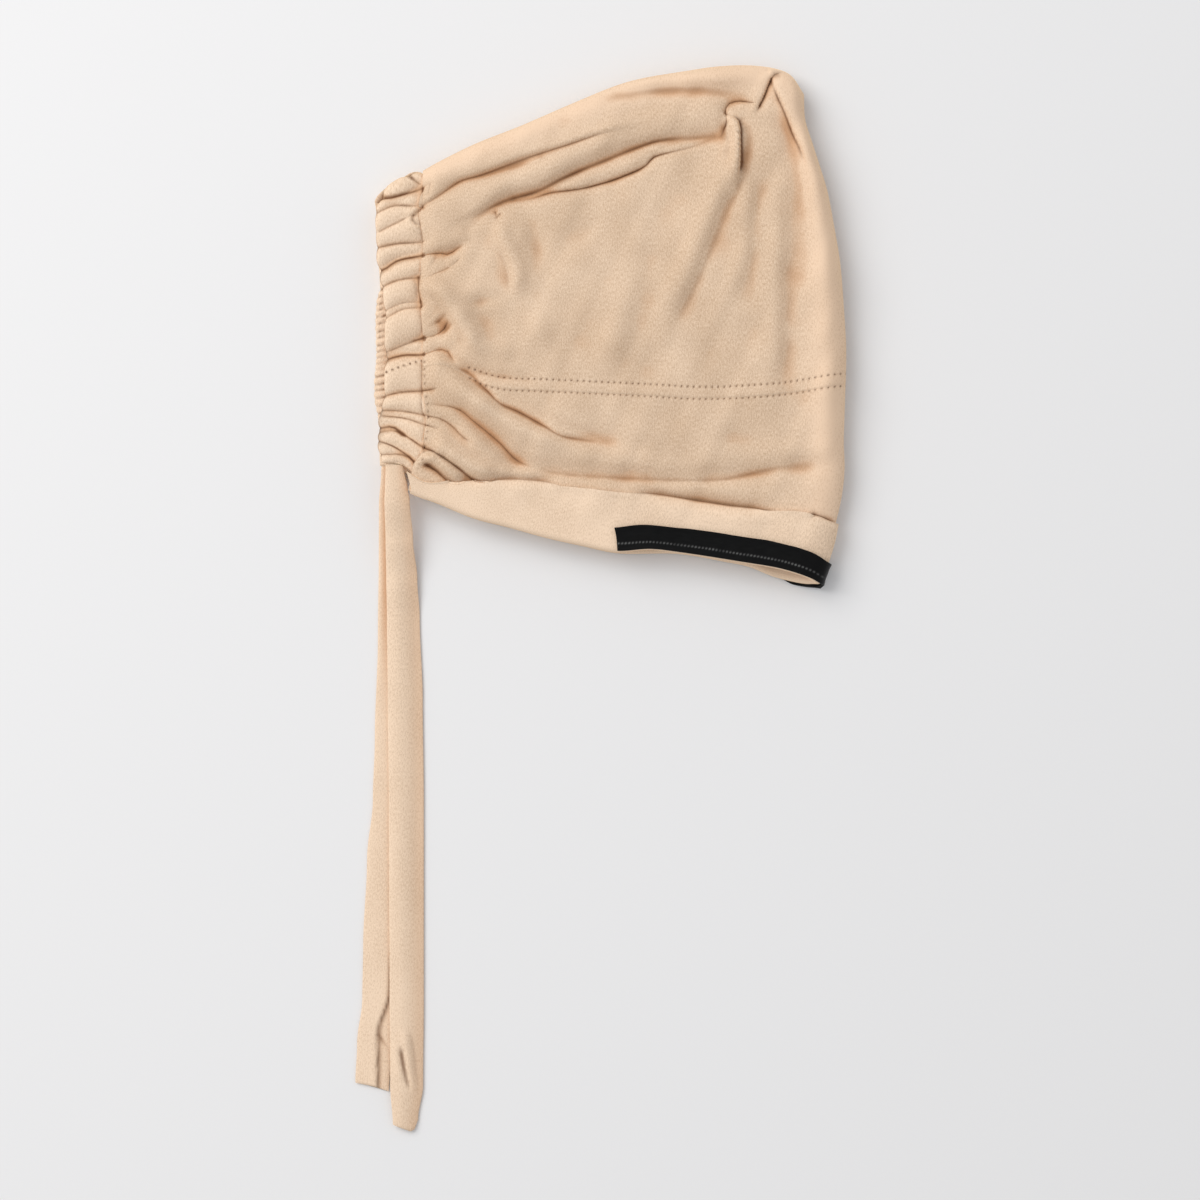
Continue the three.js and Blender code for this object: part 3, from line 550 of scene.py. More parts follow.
def eased_level(table: Sequence[tuple[float, ...]], column: int, up: Array) -> Array:
    """Reads a column of a table at heights `up`, eased between its rows.

    Args:
        table: Rows that begin with a height up.
        column: Which column to read.
        up: The heights to read it at.

    Returns:
        The column's values there.
    """
    rows = np.array(sorted(table), float)
    k = np.clip(np.searchsorted(rows[:, 0], up), 1, len(rows) - 1)
    below, above = rows[k - 1], rows[k]
    share = ease((up - below[..., 0]) / (above[..., 0] - below[..., 0]))
    return mix(below[..., column], above[..., column], share)


@dataclass(frozen=True)
class StitchRow:
    """A row of lock stitches: a needle hole every `pitch` along a line, `reach` wide each way."""

    line: Places
    pitch: float = 2.8
    reach: float = 0.52
    deep: float = 1.0

    FARTHEST = 3  # in reaches
    NARROW = 4  # the power that makes the peaks at the holes narrow

    def holes(self, x: Array, y: Array) -> Array:
        """Tells how deep in a needle hole each place is: exp(-(distance / reach)^2) times a
        narrow peak at every pitch along the line.

        Args:
            x: Where the places are, across.
            y: Where the places are, up.

        Returns:
            The depth at each place, 0 to 1.
        """
        depth = np.zeros(x.shape)
        found = nearest_on(self.line, self.FARTHEST * self.reach, x, y)
        peak = (0.5 + 0.5 * np.cos(2 * np.pi * found.along / self.pitch)) ** self.NARROW
        depth[found.places] = self.deep * peak * np.exp(-(found.distance / self.reach) ** 2)
        return depth


def shifted(places: Places, across: float, up: float) -> Places:
    """Moves a line's places across and up."""
    return tuple((x + across, y + up) for x, y in places)


ROW_APART = 2.75  # from the crown's seam to each of its two stitch rows
CASING_APART = 1.3  # from the casing's seam to the row beside it, which is longer and shallower
BODY_ROWS = (
    StitchRow(shifted(SEAM[2:], 0, ROW_APART)),
    StitchRow(shifted(SEAM[2:], 0, -ROW_APART)),
    StitchRow(shifted(CASING_SEAM_LOWER[2:], CASING_APART, 0), pitch=3.2, deep=0.6),
)
CASING_ROW = StitchRow(photo((388, 373), (398, 369), (410, 365), (418, 362.5), (427, 361)))


def needle_holes(rows: Sequence[StitchRow], x: Array, y: Array) -> Array:
    """Adds up the needle holes of several rows."""
    return clamped(sum(row.holes(x, y) for row in rows))


class Side(Enum):
    """The two halves of the flat cap: the one that faces up and the one on the table."""

    NEAR = "near"
    FAR = "far"


HOLE_DEPTH = 0.45


@dataclass
class Heights:
    """Heights of a half's middle, and the rise of its folds alone."""

    z: Array
    rise: Array


def near_height(xy: Array, from_casing: Array, from_rim: Array | float) -> Heights:
    """Works out the near cloth's level stretch.

    It is the level table plus the main folds, which pass to the casing's own height over
    CASING_REACH, plus the fine folds, the gathers and the slack, less the needle holes. All folds
    calm down to the rim.

    Args:
        xy: Places over the table.
        from_casing: How far they are from the casing.
        from_rim: How far they are above the rim.

    Returns:
        The heights and the part of them that the folds make.
    """
    x, y = xy[..., 0], xy[..., 1]
    calm = ease(np.asarray(from_rim / RIM_REACH))
    open_share = ease(from_casing / CASING_REACH)
    main = calm * fold_rise(MAIN_FOLDS, x, y)
    fine = calm * (fold_rise(FINE_FOLDS, x, y) + fold_rise(GATHERS, x, y)
                   + slack(x, y) * open_share)
    level = eased_level(NEAR_LEVELS, 1, y)
    holes = HOLE_DEPTH * needle_holes(BODY_ROWS, x, y)
    z = mix(BODY_AT_CASING, level + main, open_share) + fine - holes
    return Heights(z, main * open_share + fine)


def far_height(under: Array, from_casing: Array) -> Array:
    """Puts the far cloth on the table, lifted by what lies under it."""
    return mix(CASING_FAR, JERSEY / 2 + under, ease(from_casing / CASING_REACH))


def towards_fold(width: float, roll: float, flat_cells: int, roll_cells: int) -> Array:
    """Gives shares from 0 to 1: even up to a roll, then even round the roll's quarter turn.

    Args:
        width: How far the half reaches.
        roll: How far from the fold the roll starts.
        flat_cells: How many cells lie before the roll.
        roll_cells: How many cells go round it.

    Returns:
        The shares, one more than the cells.
    """
    flat = np.linspace(0, width - roll, flat_cells, endpoint=False)
    turn = np.linspace(0, np.pi / 2, roll_cells + 1)
    return np.concatenate([flat, width - roll + roll * np.sin(turn)]) / width


def blurred(field: Array, reach: int) -> Array:
    """Averages a grid over (2 reach + 1) cells each way, twice, with its edges carried on.

    Args:
        field: The grid.
        reach: How many cells it averages each way.

    Returns:
        A grid of the same size.
    """
    for _ in range(2):
        for axis in (0, 1):
            padding = [(0, 0), (0, 0)]
            padding[axis] = (reach + 1, reach)
            total = np.cumsum(np.pad(field, padding, mode="edge"), axis=axis)
            last = np.take(total, range(2 * reach + 1, total.shape[axis]), axis=axis)
            first = np.take(total, range(0, total.shape[axis] - 2 * reach - 1), axis=axis)
            field = (last - first) / (2 * reach + 1)
    return field


# A crease's painted shade begins to show at one depth and is full that much deeper: cells, from,
# depth to full.
SOFT_REACH, SOFT_FROM, SOFT_FULL = 8, 0.32, 1.3
SHARP_REACH, SHARP_FROM, SHARP_FULL = 2, 0.08, 0.6
# Needle holes get the same painted dark shade as sharp creases.
HOLE_PAINTED_SHADE = 1.3  # a needle hole's weight beside a sharp crease

# The painted glow of the two folds, a paler and warmer colour that stands in for light through the
# cloth: how far in it peaks, its reach, and how much paler and warmer it makes them.
FRONT_GLOW = (7.0, 10.0)
TOP_GLOW = (4.5, 8.0)
FOLD_PAINTED_PALE, FOLD_PAINTED_WARMTH = 1.5, 0.3


def painted_fold_glow(from_front: Array, from_top: Array | float) -> Array:
    """Tells how close to a fold the cloth is, for the painted glow that stands in for light coming
    through it from the far half: exp(-((distance - peak) / reach)^2) from each fold.

    Args:
        from_front: How far the places are from the front fold.
        from_top: How far they are from the top fold.

    Returns:
        The glow of the nearer fold, 0 to 1.
    """
    glows = [np.exp(-((distance - peak) / reach) ** 2)
             for distance, (peak, reach) in ((from_front, FRONT_GLOW), (from_top, TOP_GLOW))]
    return np.maximum(*glows)


@dataclass
class Marks:
    """What the finish reads at each place: the painted shade of a soft crease, warmer in colour,
    with the painted glow by a fold; the painted dark shade in a sharp crease and in a needle hole,
    which on the grip strip marks the thread's painted glint instead, both 0 to 1; how much paler it
    is by a fold, which is painted glow, and where cloth lies on cloth; and where it lies on the flat
    cut, in millimetres."""

    crease: Array
    line: Array
    doubled_and_painted_glow: Array
    flat: Array

    @classmethod
    def of(cls, rise: Array, holes: Array | float, across: Array, up: Array,
           doubled_and_painted_glow: float = 0.0, glow: Array | float = 0.0) -> "Marks":
        """Measures a grid: each crease's painted shade comes from the mean height round a place less
        its own height.

        Args:
            rise: What the folds alone raise each place by.
            holes: How deep in a needle hole it is, 0 to 1.
            across: Where it lies across the flat cut.
            up: Where it lies up the flat cut.
            doubled_and_painted_glow: How much cloth lies under the whole grid, 0 to 1, which makes
                it paler.
            glow: How close to a fold it is, 0 to 1, for the painted glow.

        Returns:
            The marks of the grid's places, one after another.
        """
        soft = clamped((blurred(rise, SOFT_REACH) - rise - SOFT_FROM) / SOFT_FULL)
        sharp = clamped((blurred(rise, SHARP_REACH) - rise - SHARP_FROM) / SHARP_FULL)
        flat = np.stack(np.broadcast_arrays(across, up), -1)
        # Painted shade: warmer in soft creases, dark in sharp creases and needle holes. Painted
        # glow: paler and warmer by the folds.
        painted_warmth = clamped(soft + FOLD_PAINTED_WARMTH * glow)
        pale = np.broadcast_to(doubled_and_painted_glow + FOLD_PAINTED_PALE * glow, rise.shape)
        line = clamped(sharp + HOLE_PAINTED_SHADE * holes)
        return cls(painted_warmth.ravel(), line.ravel(), pale.ravel(), flat.reshape(-1, 2))

    def then(self, other: "Marks") -> "Marks":
        """Adds the marks of further places."""
        return Marks(*(np.concatenate([mine, theirs])
                       for mine, theirs in zip(vars(self).values(), vars(other).values())))

    def at(self, index: Array) -> "Marks":
        """Picks the marks of some places."""
        return Marks(*(values[index] for values in vars(self).values()))


@dataclass
class Grid:
    """Columns and rows of place numbers, turned where the outer face looks the other way."""

    index: Array
    turned: bool = False

    def faces(self) -> Array:
        """Gives the quads between the places, each turning left seen from outside.

        Returns:
            Four place numbers for each quad.
        """
        i = self.index
        quads = np.stack([i[:-1, :-1], i[1:, :-1], i[1:, 1:], i[:-1, 1:]], -1).reshape(-1, 4)
        return quads[:, ::-1] if self.turned else quads

    def borders(self) -> list[Array]:
        """Gives the lower, right, upper and left border, each in the way its faces pass it.

        Returns:
            Four lines of place numbers.
        """
        i = self.index
        lines = [i[:, 0], i[-1], i[::-1, -1], i[0, ::-1]]
        return [line[::-1] for line in lines] if self.turned else lines

    def coarse(self, step: int) -> "Grid":
        """Keeps every step-th column and row."""
        return Grid(self.index[::step, ::step], self.turned)


def runs(line: Array, step: int) -> Array:
    """Cuts a line of place numbers into runs of `step` cells that share their end places."""
    starts = np.arange(0, len(line) - 1, step)
    return line[starts[:, None] + np.arange(step + 1)]


def rim_faces(outer: Array, inner: Array) -> Array:
    """Joins a border of the outer side to the coarser one of the inner side.

    Args:
        outer: Place numbers along the outer border, in the way its faces pass it.
        inner: Place numbers along the inner border, a whole number of times fewer.

    Returns:
        One many-sided face for each cell of the inner border.
    """
    step = (len(outer) - 1) // (len(inner) - 1)
    return np.hstack([inner[:-1, None], inner[1:, None], runs(outer, step)[:, ::-1]])


def face_normals(places: Array, faces: Array) -> Array:
    """Gives each face's normal times twice its area: the sum of p[k] x p[k+1] round it."""
    corners = places[faces]
    return np.cross(corners, np.roll(corners, -1, axis=1)).sum(1)


def smooth_normals(places: Array, blocks: Sequence[Array]) -> Array:
    """Averages the normals of the faces round each place, weighted by their areas.

    Args:
        places: The places.
        blocks: Faces of place numbers, each block of one size.

    Returns:
        A normal for each place.
    """
    normals = np.zeros_like(places)
    for faces in blocks:
        weights = face_normals(places, faces)
        for corner in faces.T:
            np.add.at(normals, corner, weights)
    return unit(normals)


@dataclass
class Surface:
    """A closed surface ready for a mesh: its places, its faces and its marks."""

    places: Array
    blocks: list[Array]
    marks: Marks


@dataclass
class Cloth:
    """One layer of cloth: the places of its middle and the faces of its two sides.

    The outer side lies half the thickness out from the middle, and the inner side half the
    thickness in and down by `drop`, so that no crease of the outer side reaches it. `rims` holds
    each outer border and the inner one that it is joined to.
    """

    middle: Array
    outer: list[Array]
    inner: list[Array]
    rims: list[tuple[Array, Array]]
    half: float
    drop: Array
    marks: Marks

    @classmethod
    def of_grid(cls, places: Array, coarse: int, half: float, drop: Array, marks: Marks,
                turned: bool = False) -> "Cloth":
        """Makes the cloth of one grid of places, with a coarser grid for its inner side.

        Args:
            places: The middle, with the last axis x, y, z.
            coarse: How many cells of the grid one cell of the inner side takes.
            half: Half the thickness.
            drop: How far down the inner side lies besides.
            marks: The marks of each place.
            turned: Whether the outer face looks the other way.

        Returns:
            The cloth.
        """
        grid = Grid(np.arange(drop.size).reshape(drop.shape), turned)
        inner = grid.coarse(coarse)
        return cls(places.reshape(-1, 3), [grid.faces()], [inner.faces()],
                   list(zip(grid.borders(), inner.borders())), half, drop.ravel(), marks)

    def closed(self) -> Surface:
        """Joins the two sides round their borders and leaves out unused places.

        Returns:
            The closed surface.
        """
        count = len(self.middle)
        normals = smooth_normals(self.middle, self.outer)
        outside = self.middle + self.half * normals
        inside = self.middle - self.half * normals
        inside[:, 2] -= self.drop
        blocks = [*self.outer, *(faces[:, ::-1] + count for faces in self.inner)]
        blocks += [rim_faces(outer, inner + count) for outer, inner in self.rims]
        used = np.unique(np.concatenate([faces.ravel() for faces in blocks]))
        number = np.zeros(2 * count, int)
        number[used] = np.arange(len(used))
        places = np.vstack([outside, inside])[used]
        marks = self.marks.then(self.marks).at(used)
        return Surface(places, [number[faces] for faces in blocks], marks)


def lowest_nearby(field: Array, reach: int) -> Array:
    """Gives the lowest value of a grid within `reach` cells each way of every place.

    Args:
        field: The grid.
        reach: How many cells it looks each way.

    Returns:
        A grid of the same size.
    """
    for axis in (0, 1):
        padding = [(0, 0), (0, 0)]
        padding[axis] = (reach, reach)
        padded = np.pad(field, padding, mode="edge")
        size = field.shape[axis]
        field = np.min([np.take(padded, range(k, k + size), axis=axis)
                        for k in range(2 * reach + 1)], axis=0)
    return field


SHARP_ANGLE = np.radians(58)


def solid_object(name: str, surface: Surface, material: bpy.types.Material) -> bpy.types.Object:
    """Makes an object from a surface in millimetres, at the origin and shaded smooth.

    Args:
        name: The piece's name.
        surface: Its places, faces and marks.
        material: Its finish.

    Returns:
        The object, linked to the scene.
    """
    mesh = bpy.data.meshes.new(name)
    faces = [face for block in surface.blocks for face in block.tolist()]
    mesh.from_pydata(surface.places * MM, [], faces)
    # The marks hold the painted shade of creases and needle holes and the painted glow by the folds.
    for mark in ("crease", "line", "doubled_and_painted_glow"):
        attribute = mesh.attributes.new(mark, "FLOAT", "POINT")
        values = getattr(surface.marks, mark)
        attribute.data.foreach_set("value", values.astype(np.float32))
    corners = np.empty(len(mesh.loops), np.int32)
    mesh.loops.foreach_get("vertex_index", corners)
    layer = mesh.uv_layers.new(name="cut")
    layer.uv.foreach_set("vector", (surface.marks.flat[corners] * MM).astype(np.float32).ravel())
    mesh.materials.append(material)
    mesh.shade_smooth()
    mesh.set_sharp_from_angle(angle=SHARP_ANGLE)
    mesh.update()
    piece = bpy.data.objects.new(name, mesh)
    bpy.context.scene.collection.objects.link(piece)
    return piece


def tube_surface(places: Array, marks: Marks) -> Surface:
    """Closes a grid of rings, with the last axis x, y, z, into a capped tube.

    Args:
        places: Rings along the first axis, and the places round each ring along the second.
        marks: The marks of each place.

    Returns:
        The closed tube. Its outside is on the left of the way round where the rings go forward.
    """
    rings, around = places.shape[:2]
    index = np.arange(rings * around).reshape(rings, around)
    looped = np.hstack([index, index[:, :1]])
    blocks = [Grid(looped).faces(), index[:1], index[-1:, ::-1]]
    return Surface(places.reshape(-1, 3), blocks, marks)


# Finishes.

def linear(hex_colour: int) -> tuple[float, float, float, float]:
    """Turns an sRGB colour written as 0xRRGGBB into linear red, green, blue and alpha.

    Args:
        hex_colour: The colour.

    Returns:
        The four values, 0 to 1.
    """
    channels = np.array([(hex_colour >> shift) & 0xFF for shift in (16, 8, 0)]) / 255
    values = np.where(channels <= 0.04045, channels / 12.92, ((channels + 0.055) / 1.055) ** 2.4)
    return (*values.tolist(), 1.0)


def add_node(tree: bpy.types.NodeTree, kind: str, inputs: dict[str | int, object] | None = None,
             **settings: object) -> bpy.types.Node:
    """Adds a node with its settings and its inputs.

    Args:
        tree: The material's nodes.
        kind: The node's type name.
        inputs: Values for its input sockets, or output sockets to link to them.
        settings: The node's own properties.

    Returns:
        The node.
    """
    node = tree.nodes.new(kind)
    for key, value in settings.items():
        setattr(node, key, value)
    for socket, value in (inputs or {}).items():
        if isinstance(value, bpy.types.NodeSocket):
            tree.links.new(value, node.inputs[socket])
        else:
            node.inputs[socket].default_value = value
    return node


def empty_material(name: str) -> tuple[bpy.types.Material, bpy.types.NodeTree]:
    """Makes a material and its node tree, which is still empty.

    Args:
        name: The finish's name.

    Returns:
        The material and its node tree.
    """
    material = bpy.data.materials.new(name)
    material.use_nodes = True
    material.node_tree.nodes.clear()
    return material, material.node_tree


@dataclass(frozen=True)
class JerseyFinish:
    """Viscose single jersey, knitted and left matt: fine upright ribs, a soft nap that brightens at
    grazing angles, and painted shade in the creases, in a warmer colour for the light the cloth
    throws on itself and dark brown in sharp creases and needle holes.

    The tone between `colour` and `pale` is `offset` and the sum of the ribs, the loops, the mottle
    and the mark of cloth on cloth with the painted glow by the folds, by their `weights`; the first
    two make the bump as well.
    """

    name: str = "viscose_jersey_knitted"
    colour: int = 0xC8AA8C
    pale: int = 0xF4D9BD
    # The painted shade of soft creases, and of sharp creases and needle holes.
    painted_crease_shade_colour: int = 0xC68C58
    painted_line_shade_colour: int = 0x5E3518
    nap_colour: int = 0xFFDCB0
    roughness: float = 0.92
    specular: float = 0.18
    nap_roughness: float = 0.4
    rib_mm: float = 0.55  # a little coarser than the real 0.5 mm, to show at this distance
    rib_stretch: float = 0.42  # the streaks are over twice as long as they are wide
    rib_depth_mm: float = 0.07
    rib_strength: float = 0.6
    loop_mm: float = 0.42
    mottle: tuple[float, float] = (45, 28)  # pale spots to the metre, across and up
    offset: float = -0.025
    weights: tuple[float, ...] = (0.7, 0.35, 0.3, 0.2)
    tone_ends: tuple[float, float] = (0.45, 0.95)
    painted_crease_shade_weight: float = 0.6
    painted_line_shade_weight: float = 0.92

    def material(self) -> bpy.types.Material:
        """Makes the nodes.

        Returns:
            The material.
        """
        material, tree = empty_material(self.name)
        cut = add_node(tree, "ShaderNodeUVMap", uv_map="cut").outputs["UV"]
        rib, loop = self.rib_mm * MM, self.loop_mm * MM
        layers = []
        for scale, detail, roughness in (((1 / rib, self.rib_stretch / rib, 1), 2.0, 0.6),
                                         ((1 / loop, 1 / loop, 1), 1.0, 0.5),
                                         ((*self.mottle, 1), 3.0, 0.5)):
            place = add_node(tree, "ShaderNodeMapping", {"Vector": cut, "Scale": scale})
            noise = add_node(tree, "ShaderNodeTexNoise", {
                "Vector": place.outputs["Vector"], "Scale": 1.0, "Detail": detail,
                "Roughness": roughness}, noise_dimensions="2D")
            layers.append(noise.outputs["Fac"])
        # Paler where cloth lies on cloth, and painted glow by the folds.
        doubled_and_painted_glow = add_node(tree, "ShaderNodeAttribute", attribute_name="doubled_and_painted_glow")
        layers.append(doubled_and_painted_glow.outputs["Fac"])
        sums = [self.offset]
        for layer, weight in zip(layers, self.weights):
            total = add_node(tree, "ShaderNodeMath", {0: layer, 1: weight, 2: sums[-1]},
                             operation="MULTIPLY_ADD")
            sums.append(total.outputs[0])
        tone = add_node(tree, "ShaderNodeMapRange", {
            "Value": sums[-1], "From Min": self.tone_ends[0], "From Max": self.tone_ends[1]})
        colour = add_node(tree, "ShaderNodeMix", {
            "Factor": tone.outputs["Result"], "A": linear(self.colour), "B": linear(self.pale)},
            data_type="RGBA")
        # Painted shade: warmer in soft creases, dark brown in sharp creases and needle holes.
        for mark, weight, shade in (("crease", self.painted_crease_shade_weight, self.painted_crease_shade_colour),
                                    ("line", self.painted_line_shade_weight, self.painted_line_shade_colour)):
            depth = add_node(tree, "ShaderNodeAttribute", attribute_name=mark)
            share = add_node(tree, "ShaderNodeMath", {0: depth.outputs["Fac"], 1: weight},
                             operation="MULTIPLY")
            colour = add_node(tree, "ShaderNodeMix", {
                "Factor": share.outputs[0], "A": colour.outputs["Result"], "B": linear(shade)},
                data_type="RGBA")
        bump = add_node(tree, "ShaderNodeBump", {
            "Height": sums[2], "Strength": self.rib_strength, "Distance": self.rib_depth_mm * MM})
        shader = add_node(tree, "ShaderNodeBsdfPrincipled", {
            "Base Color": colour.outputs["Result"], "Roughness": self.roughness,
            "Specular IOR Level": self.specular, "Sheen Weight": 1.0,
            "Sheen Roughness": self.nap_roughness, "Sheen Tint": linear(self.nap_colour),
            "Normal": bump.outputs["Normal"]})
        add_node(tree, "ShaderNodeOutputMaterial", {"Surface": shader.outputs["BSDF"]})
        return material


@dataclass(frozen=True)
class GripFinish:
    """Silicone rubber coated on elastic tape: near black, half glossy, finely ribbed along, with its
    stitch row painted pale grey as glints on the thread.
    """

    name: str = "silicone_rubber_coated"
    colour: int = 0x060606
    worn: int = 0x101010
    thread_and_painted_glint_colour: int = 0x7A7A78
    roughness: tuple[float, float] = (0.32, 0.54)
    ior: float = 1.43
    specular: float = 0.13
    rib_mm: float = 1.1
    rib_stretch: float = 0.25  # the ribs are four times as long as they are wide
    rib_depth_mm: float = 0.08
    rib_strength: float = 0.5

    def material(self) -> bpy.types.Material:
        """Makes the nodes.

        Returns:
            The material.
        """
        material, tree = empty_material(self.name)
        cut = add_node(tree, "ShaderNodeUVMap", uv_map="cut").outputs["UV"]
        rib = self.rib_mm * MM
        place = add_node(tree, "ShaderNodeMapping", {
            "Vector": cut, "Scale": (self.rib_stretch / rib, 1 / rib, 1)})
        noise = add_node(tree, "ShaderNodeTexNoise", {
            "Vector": place.outputs["Vector"], "Scale": 1.0, "Detail": 2.0},
            noise_dimensions="2D")
        ribs = noise.outputs["Fac"]
        rubber = add_node(tree, "ShaderNodeMix", {
            "Factor": ribs, "A": linear(self.colour), "B": linear(self.worn)}, data_type="RGBA")
        # The stitch row: the thread painted pale grey where it catches the light, a painted glint.
        line = add_node(tree, "ShaderNodeAttribute", attribute_name="line")
        thread = add_node(tree, "ShaderNodeMath", {0: line.outputs["Fac"], 1: ribs},
                          operation="MULTIPLY")
        colour = add_node(tree, "ShaderNodeMix", {
            "Factor": thread.outputs[0], "A": rubber.outputs["Result"],
            "B": linear(self.thread_and_painted_glint_colour)}, data_type="RGBA")
        gloss = add_node(tree, "ShaderNodeMapRange", {
            "Value": ribs, "To Min": self.roughness[0], "To Max": self.roughness[1]})
        bump = add_node(tree, "ShaderNodeBump", {
            "Height": ribs, "Strength": self.rib_strength, "Distance": self.rib_depth_mm * MM})
        shader = add_node(tree, "ShaderNodeBsdfPrincipled", {
            "Base Color": colour.outputs["Result"], "Roughness": gloss.outputs["Result"],
            "IOR": self.ior, "Specular IOR Level": self.specular,
            "Normal": bump.outputs["Normal"]})
        add_node(tree, "ShaderNodeOutputMaterial", {"Surface": shader.outputs["BSDF"]})
        return material


@dataclass(frozen=True)
class TableFinish:
    """Matt white laminate: a pale floor for the photograph, whose gloss varies a little."""

    name: str = "matt_laminate_pressed"
    colour: int = 0xECEBEA
    roughness: tuple[float, float] = (0.74, 0.76)
    specular: float = 0.2
    patches: float = 9.0  # to the metre

    def material(self) -> bpy.types.Material:
        """Makes the nodes.

        Returns:
            The material.
        """
        material, tree = empty_material(self.name)
        place = add_node(tree, "ShaderNodeTexCoord").outputs["Object"]
        noise = add_node(tree, "ShaderNodeTexNoise", {
            "Vector": place, "Scale": self.patches, "Detail": 2.0})
        gloss = add_node(tree, "ShaderNodeMapRange", {
            "Value": noise.outputs["Fac"], "To Min": self.roughness[0],
            "To Max": self.roughness[1]})
        shader = add_node(tree, "ShaderNodeBsdfPrincipled", {
            "Base Color": linear(self.colour), "Roughness": gloss.outputs["Result"],
            "Specular IOR Level": self.specular})
        add_node(tree, "ShaderNodeOutputMaterial", {"Surface": shader.outputs["BSDF"]})
        return material


# The sub-assemblies.

@dataclass(frozen=True)
class Role:
    """What a piece is to the frame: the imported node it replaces, its finish's slot, and its cloth,
    with the flat size in metres, how it is held and what it rests on."""

    name: str
    node: str
    slot: str
    cut: tuple[float, float]
    held: str
    rests_on: tuple[str, ...]


class SubAssembly:
    """A part of the cap that makes one piece."""

    role: Role

    def surface(self) -> Surface:
        """Works out the piece's surface."""
        raise NotImplementedError

    def build(self, material: bpy.types.Material) -> bpy.types.Object:
        """Makes the piece and dresses it.

        Args:
            material: The piece's finish.

        Returns:
            The piece.
        """
        role = self.role
        piece = solid_object(role.name, self.surface(), material)
        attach(piece, "root")
        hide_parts(role.node)
        return piece


@dataclass
class Crown(SubAssembly):
    """The upper panel: near and far half in one cloth, folded at the top and at the front."""

    flat_columns: int = 300
    roll_columns: int = 28
    flat_rows: int = 228
    roll_rows: int = 20
    tall: float = 143.0
    coarse: int = 4
    lap_lift: float = 0.25
    edge_sink: float = 1.1
    edge_reach: float = 1.2
    role: Role = Role("crown_cloth", "crown", "jersey", (0.392, 0.145), "folded",
                      ("turned_cuff_cloth",))

    def __post_init__(self) -> None:
        """Stretches the plan between the seam, the two folds and the casing."""
        left, right = (LAP_LINE[0], *CASING_SEAM_UPPER), (LAP_LINE[-1], *FRONT_FOLD_UPPER)
        self.plan = Patch(LAP_LINE, TOP_FOLD, left, right)

    def middle(self, side: Side, u: Array, v: Array) -> tuple[Array, Array]:
        """Works out the middle of the cloth.

        The height is the side's level stretch brought to FOLD_HEIGHT by the product of the front
        fold's and the top fold's roundness. The near half lies over the panel along the seam, and
        its edge sinks into it.

        Args:
            side: The near or the far half.
            u: Shares across from the casing.
            v: Shares up from the seam.

        Returns:
            Places with the last axis x, y, z, and the rise of the folds alone.
        """
        xy = self.plan.at(u, v)
        from_top = np.linalg.norm(self.plan.at(u, np.ones_like(v)) - xy, axis=-1)
        roundness = rounded((1 - u) * CAP_WIDTH, FRONT_ROLL) * rounded(from_top, TOP_ROLL)
        from_casing = u * CAP_WIDTH
        if side is Side.NEAR:
            heights = near_height(xy, from_casing, np.inf)
            on_lap = 1 - ease((v * self.tall - SEAM_LAP) / SEAM_LAP)
            under_edge = 1 - ease(v * self.tall / self.edge_reach)
            lap = self.lap_lift * on_lap - self.edge_sink * under_edge
        else:
            heights = Heights(far_height(0.0, from_casing), np.zeros_like(u))
            lap = 0.0
        z = folded(heights.z, roundness) + lap
        return np.concatenate([xy, z[..., None]], -1), heights.rise * roundness

    def surface(self) -> Surface:
        """Joins a fine near grid and a coarse far grid along the two folds.

        Returns:
            The crown.
        """
        across = towards_fold(CAP_WIDTH, FRONT_ROLL, self.flat_columns, self.roll_columns)
        up = towards_fold(self.tall, TOP_ROLL, self.flat_rows, self.roll_rows)
        step = self.coarse
        u, v = np.meshgrid(across, up, indexing="ij")
        near_places, near_rise = self.middle(Side.NEAR, u, v)
        near = Grid(np.arange(u.size).reshape(u.shape))
        far_u, far_v = u[::step, ::step], v[::step, ::step]
        far_places, _ = self.middle(Side.FAR, far_u, far_v)
        far = Grid(u.size + np.arange(far_u.size).reshape(far_u.shape), turned=True)
        far.index[-1] = near.index[-1, ::step]
        far.index[:, -1] = near.index[::step, -1]
        inside = Grid(far.index[:-1, :-1], turned=True)
        right, top = runs(near.index[-1], step), runs(near.index[:, -1], step)[:, ::-1]
        last = far.index
        by_front = np.hstack([last[-2, :-2, None], right[:-1], last[-2, 1:-1, None]])[:, ::-1]
        by_top = np.hstack([last[:-2, -2, None], last[1:-1, -2, None], top[:-1]])[:, ::-1]
        corner = np.concatenate([last[-2, -2:-1], right[-1], top[-1, 1:]])[None, ::-1]
        rise = np.concatenate([near_rise.ravel(), np.zeros(far_u.size)])
        lowest = np.concatenate([lowest_nearby(near_rise, step).ravel(), np.zeros(far_u.size)])
        holes = needle_holes(BODY_ROWS, near_places[..., 0], near_places[..., 1])
        # Painted glow by the front and the top fold.
        marks = Marks.of(near_rise, holes, u * CAP_WIDTH, v * self.tall,
                         glow=painted_fold_glow((1 - u) * CAP_WIDTH, (1 - v) * self.tall))
        marks = marks.then(Marks.of(0 * far_u, 0.0, (2 - far_u) * CAP_WIDTH, far_v * self.tall))
        near_inner = near.coarse(step)
        rims = [(outer.borders()[open_edge], inner.borders()[open_edge])
                for outer, inner in ((near, near_inner), (far, far)) for open_edge in (0, 3)]
        return Cloth(
            middle=np.vstack([near_places.reshape(-1, 3), far_places.reshape(-1, 3)]),
            outer=[near.faces(), inside.faces(), by_front, by_top, corner],
            inner=[near_inner.faces(), far.faces()],
            rims=rims, half=JERSEY / 2, drop=rise - lowest, marks=marks).closed()


def across_at(around: Array) -> Array:
    """Turns a place round the front fold, 0 to 2, into its share across, 0 to 1 and back to 0."""
    return 1 - np.abs(1 - around)


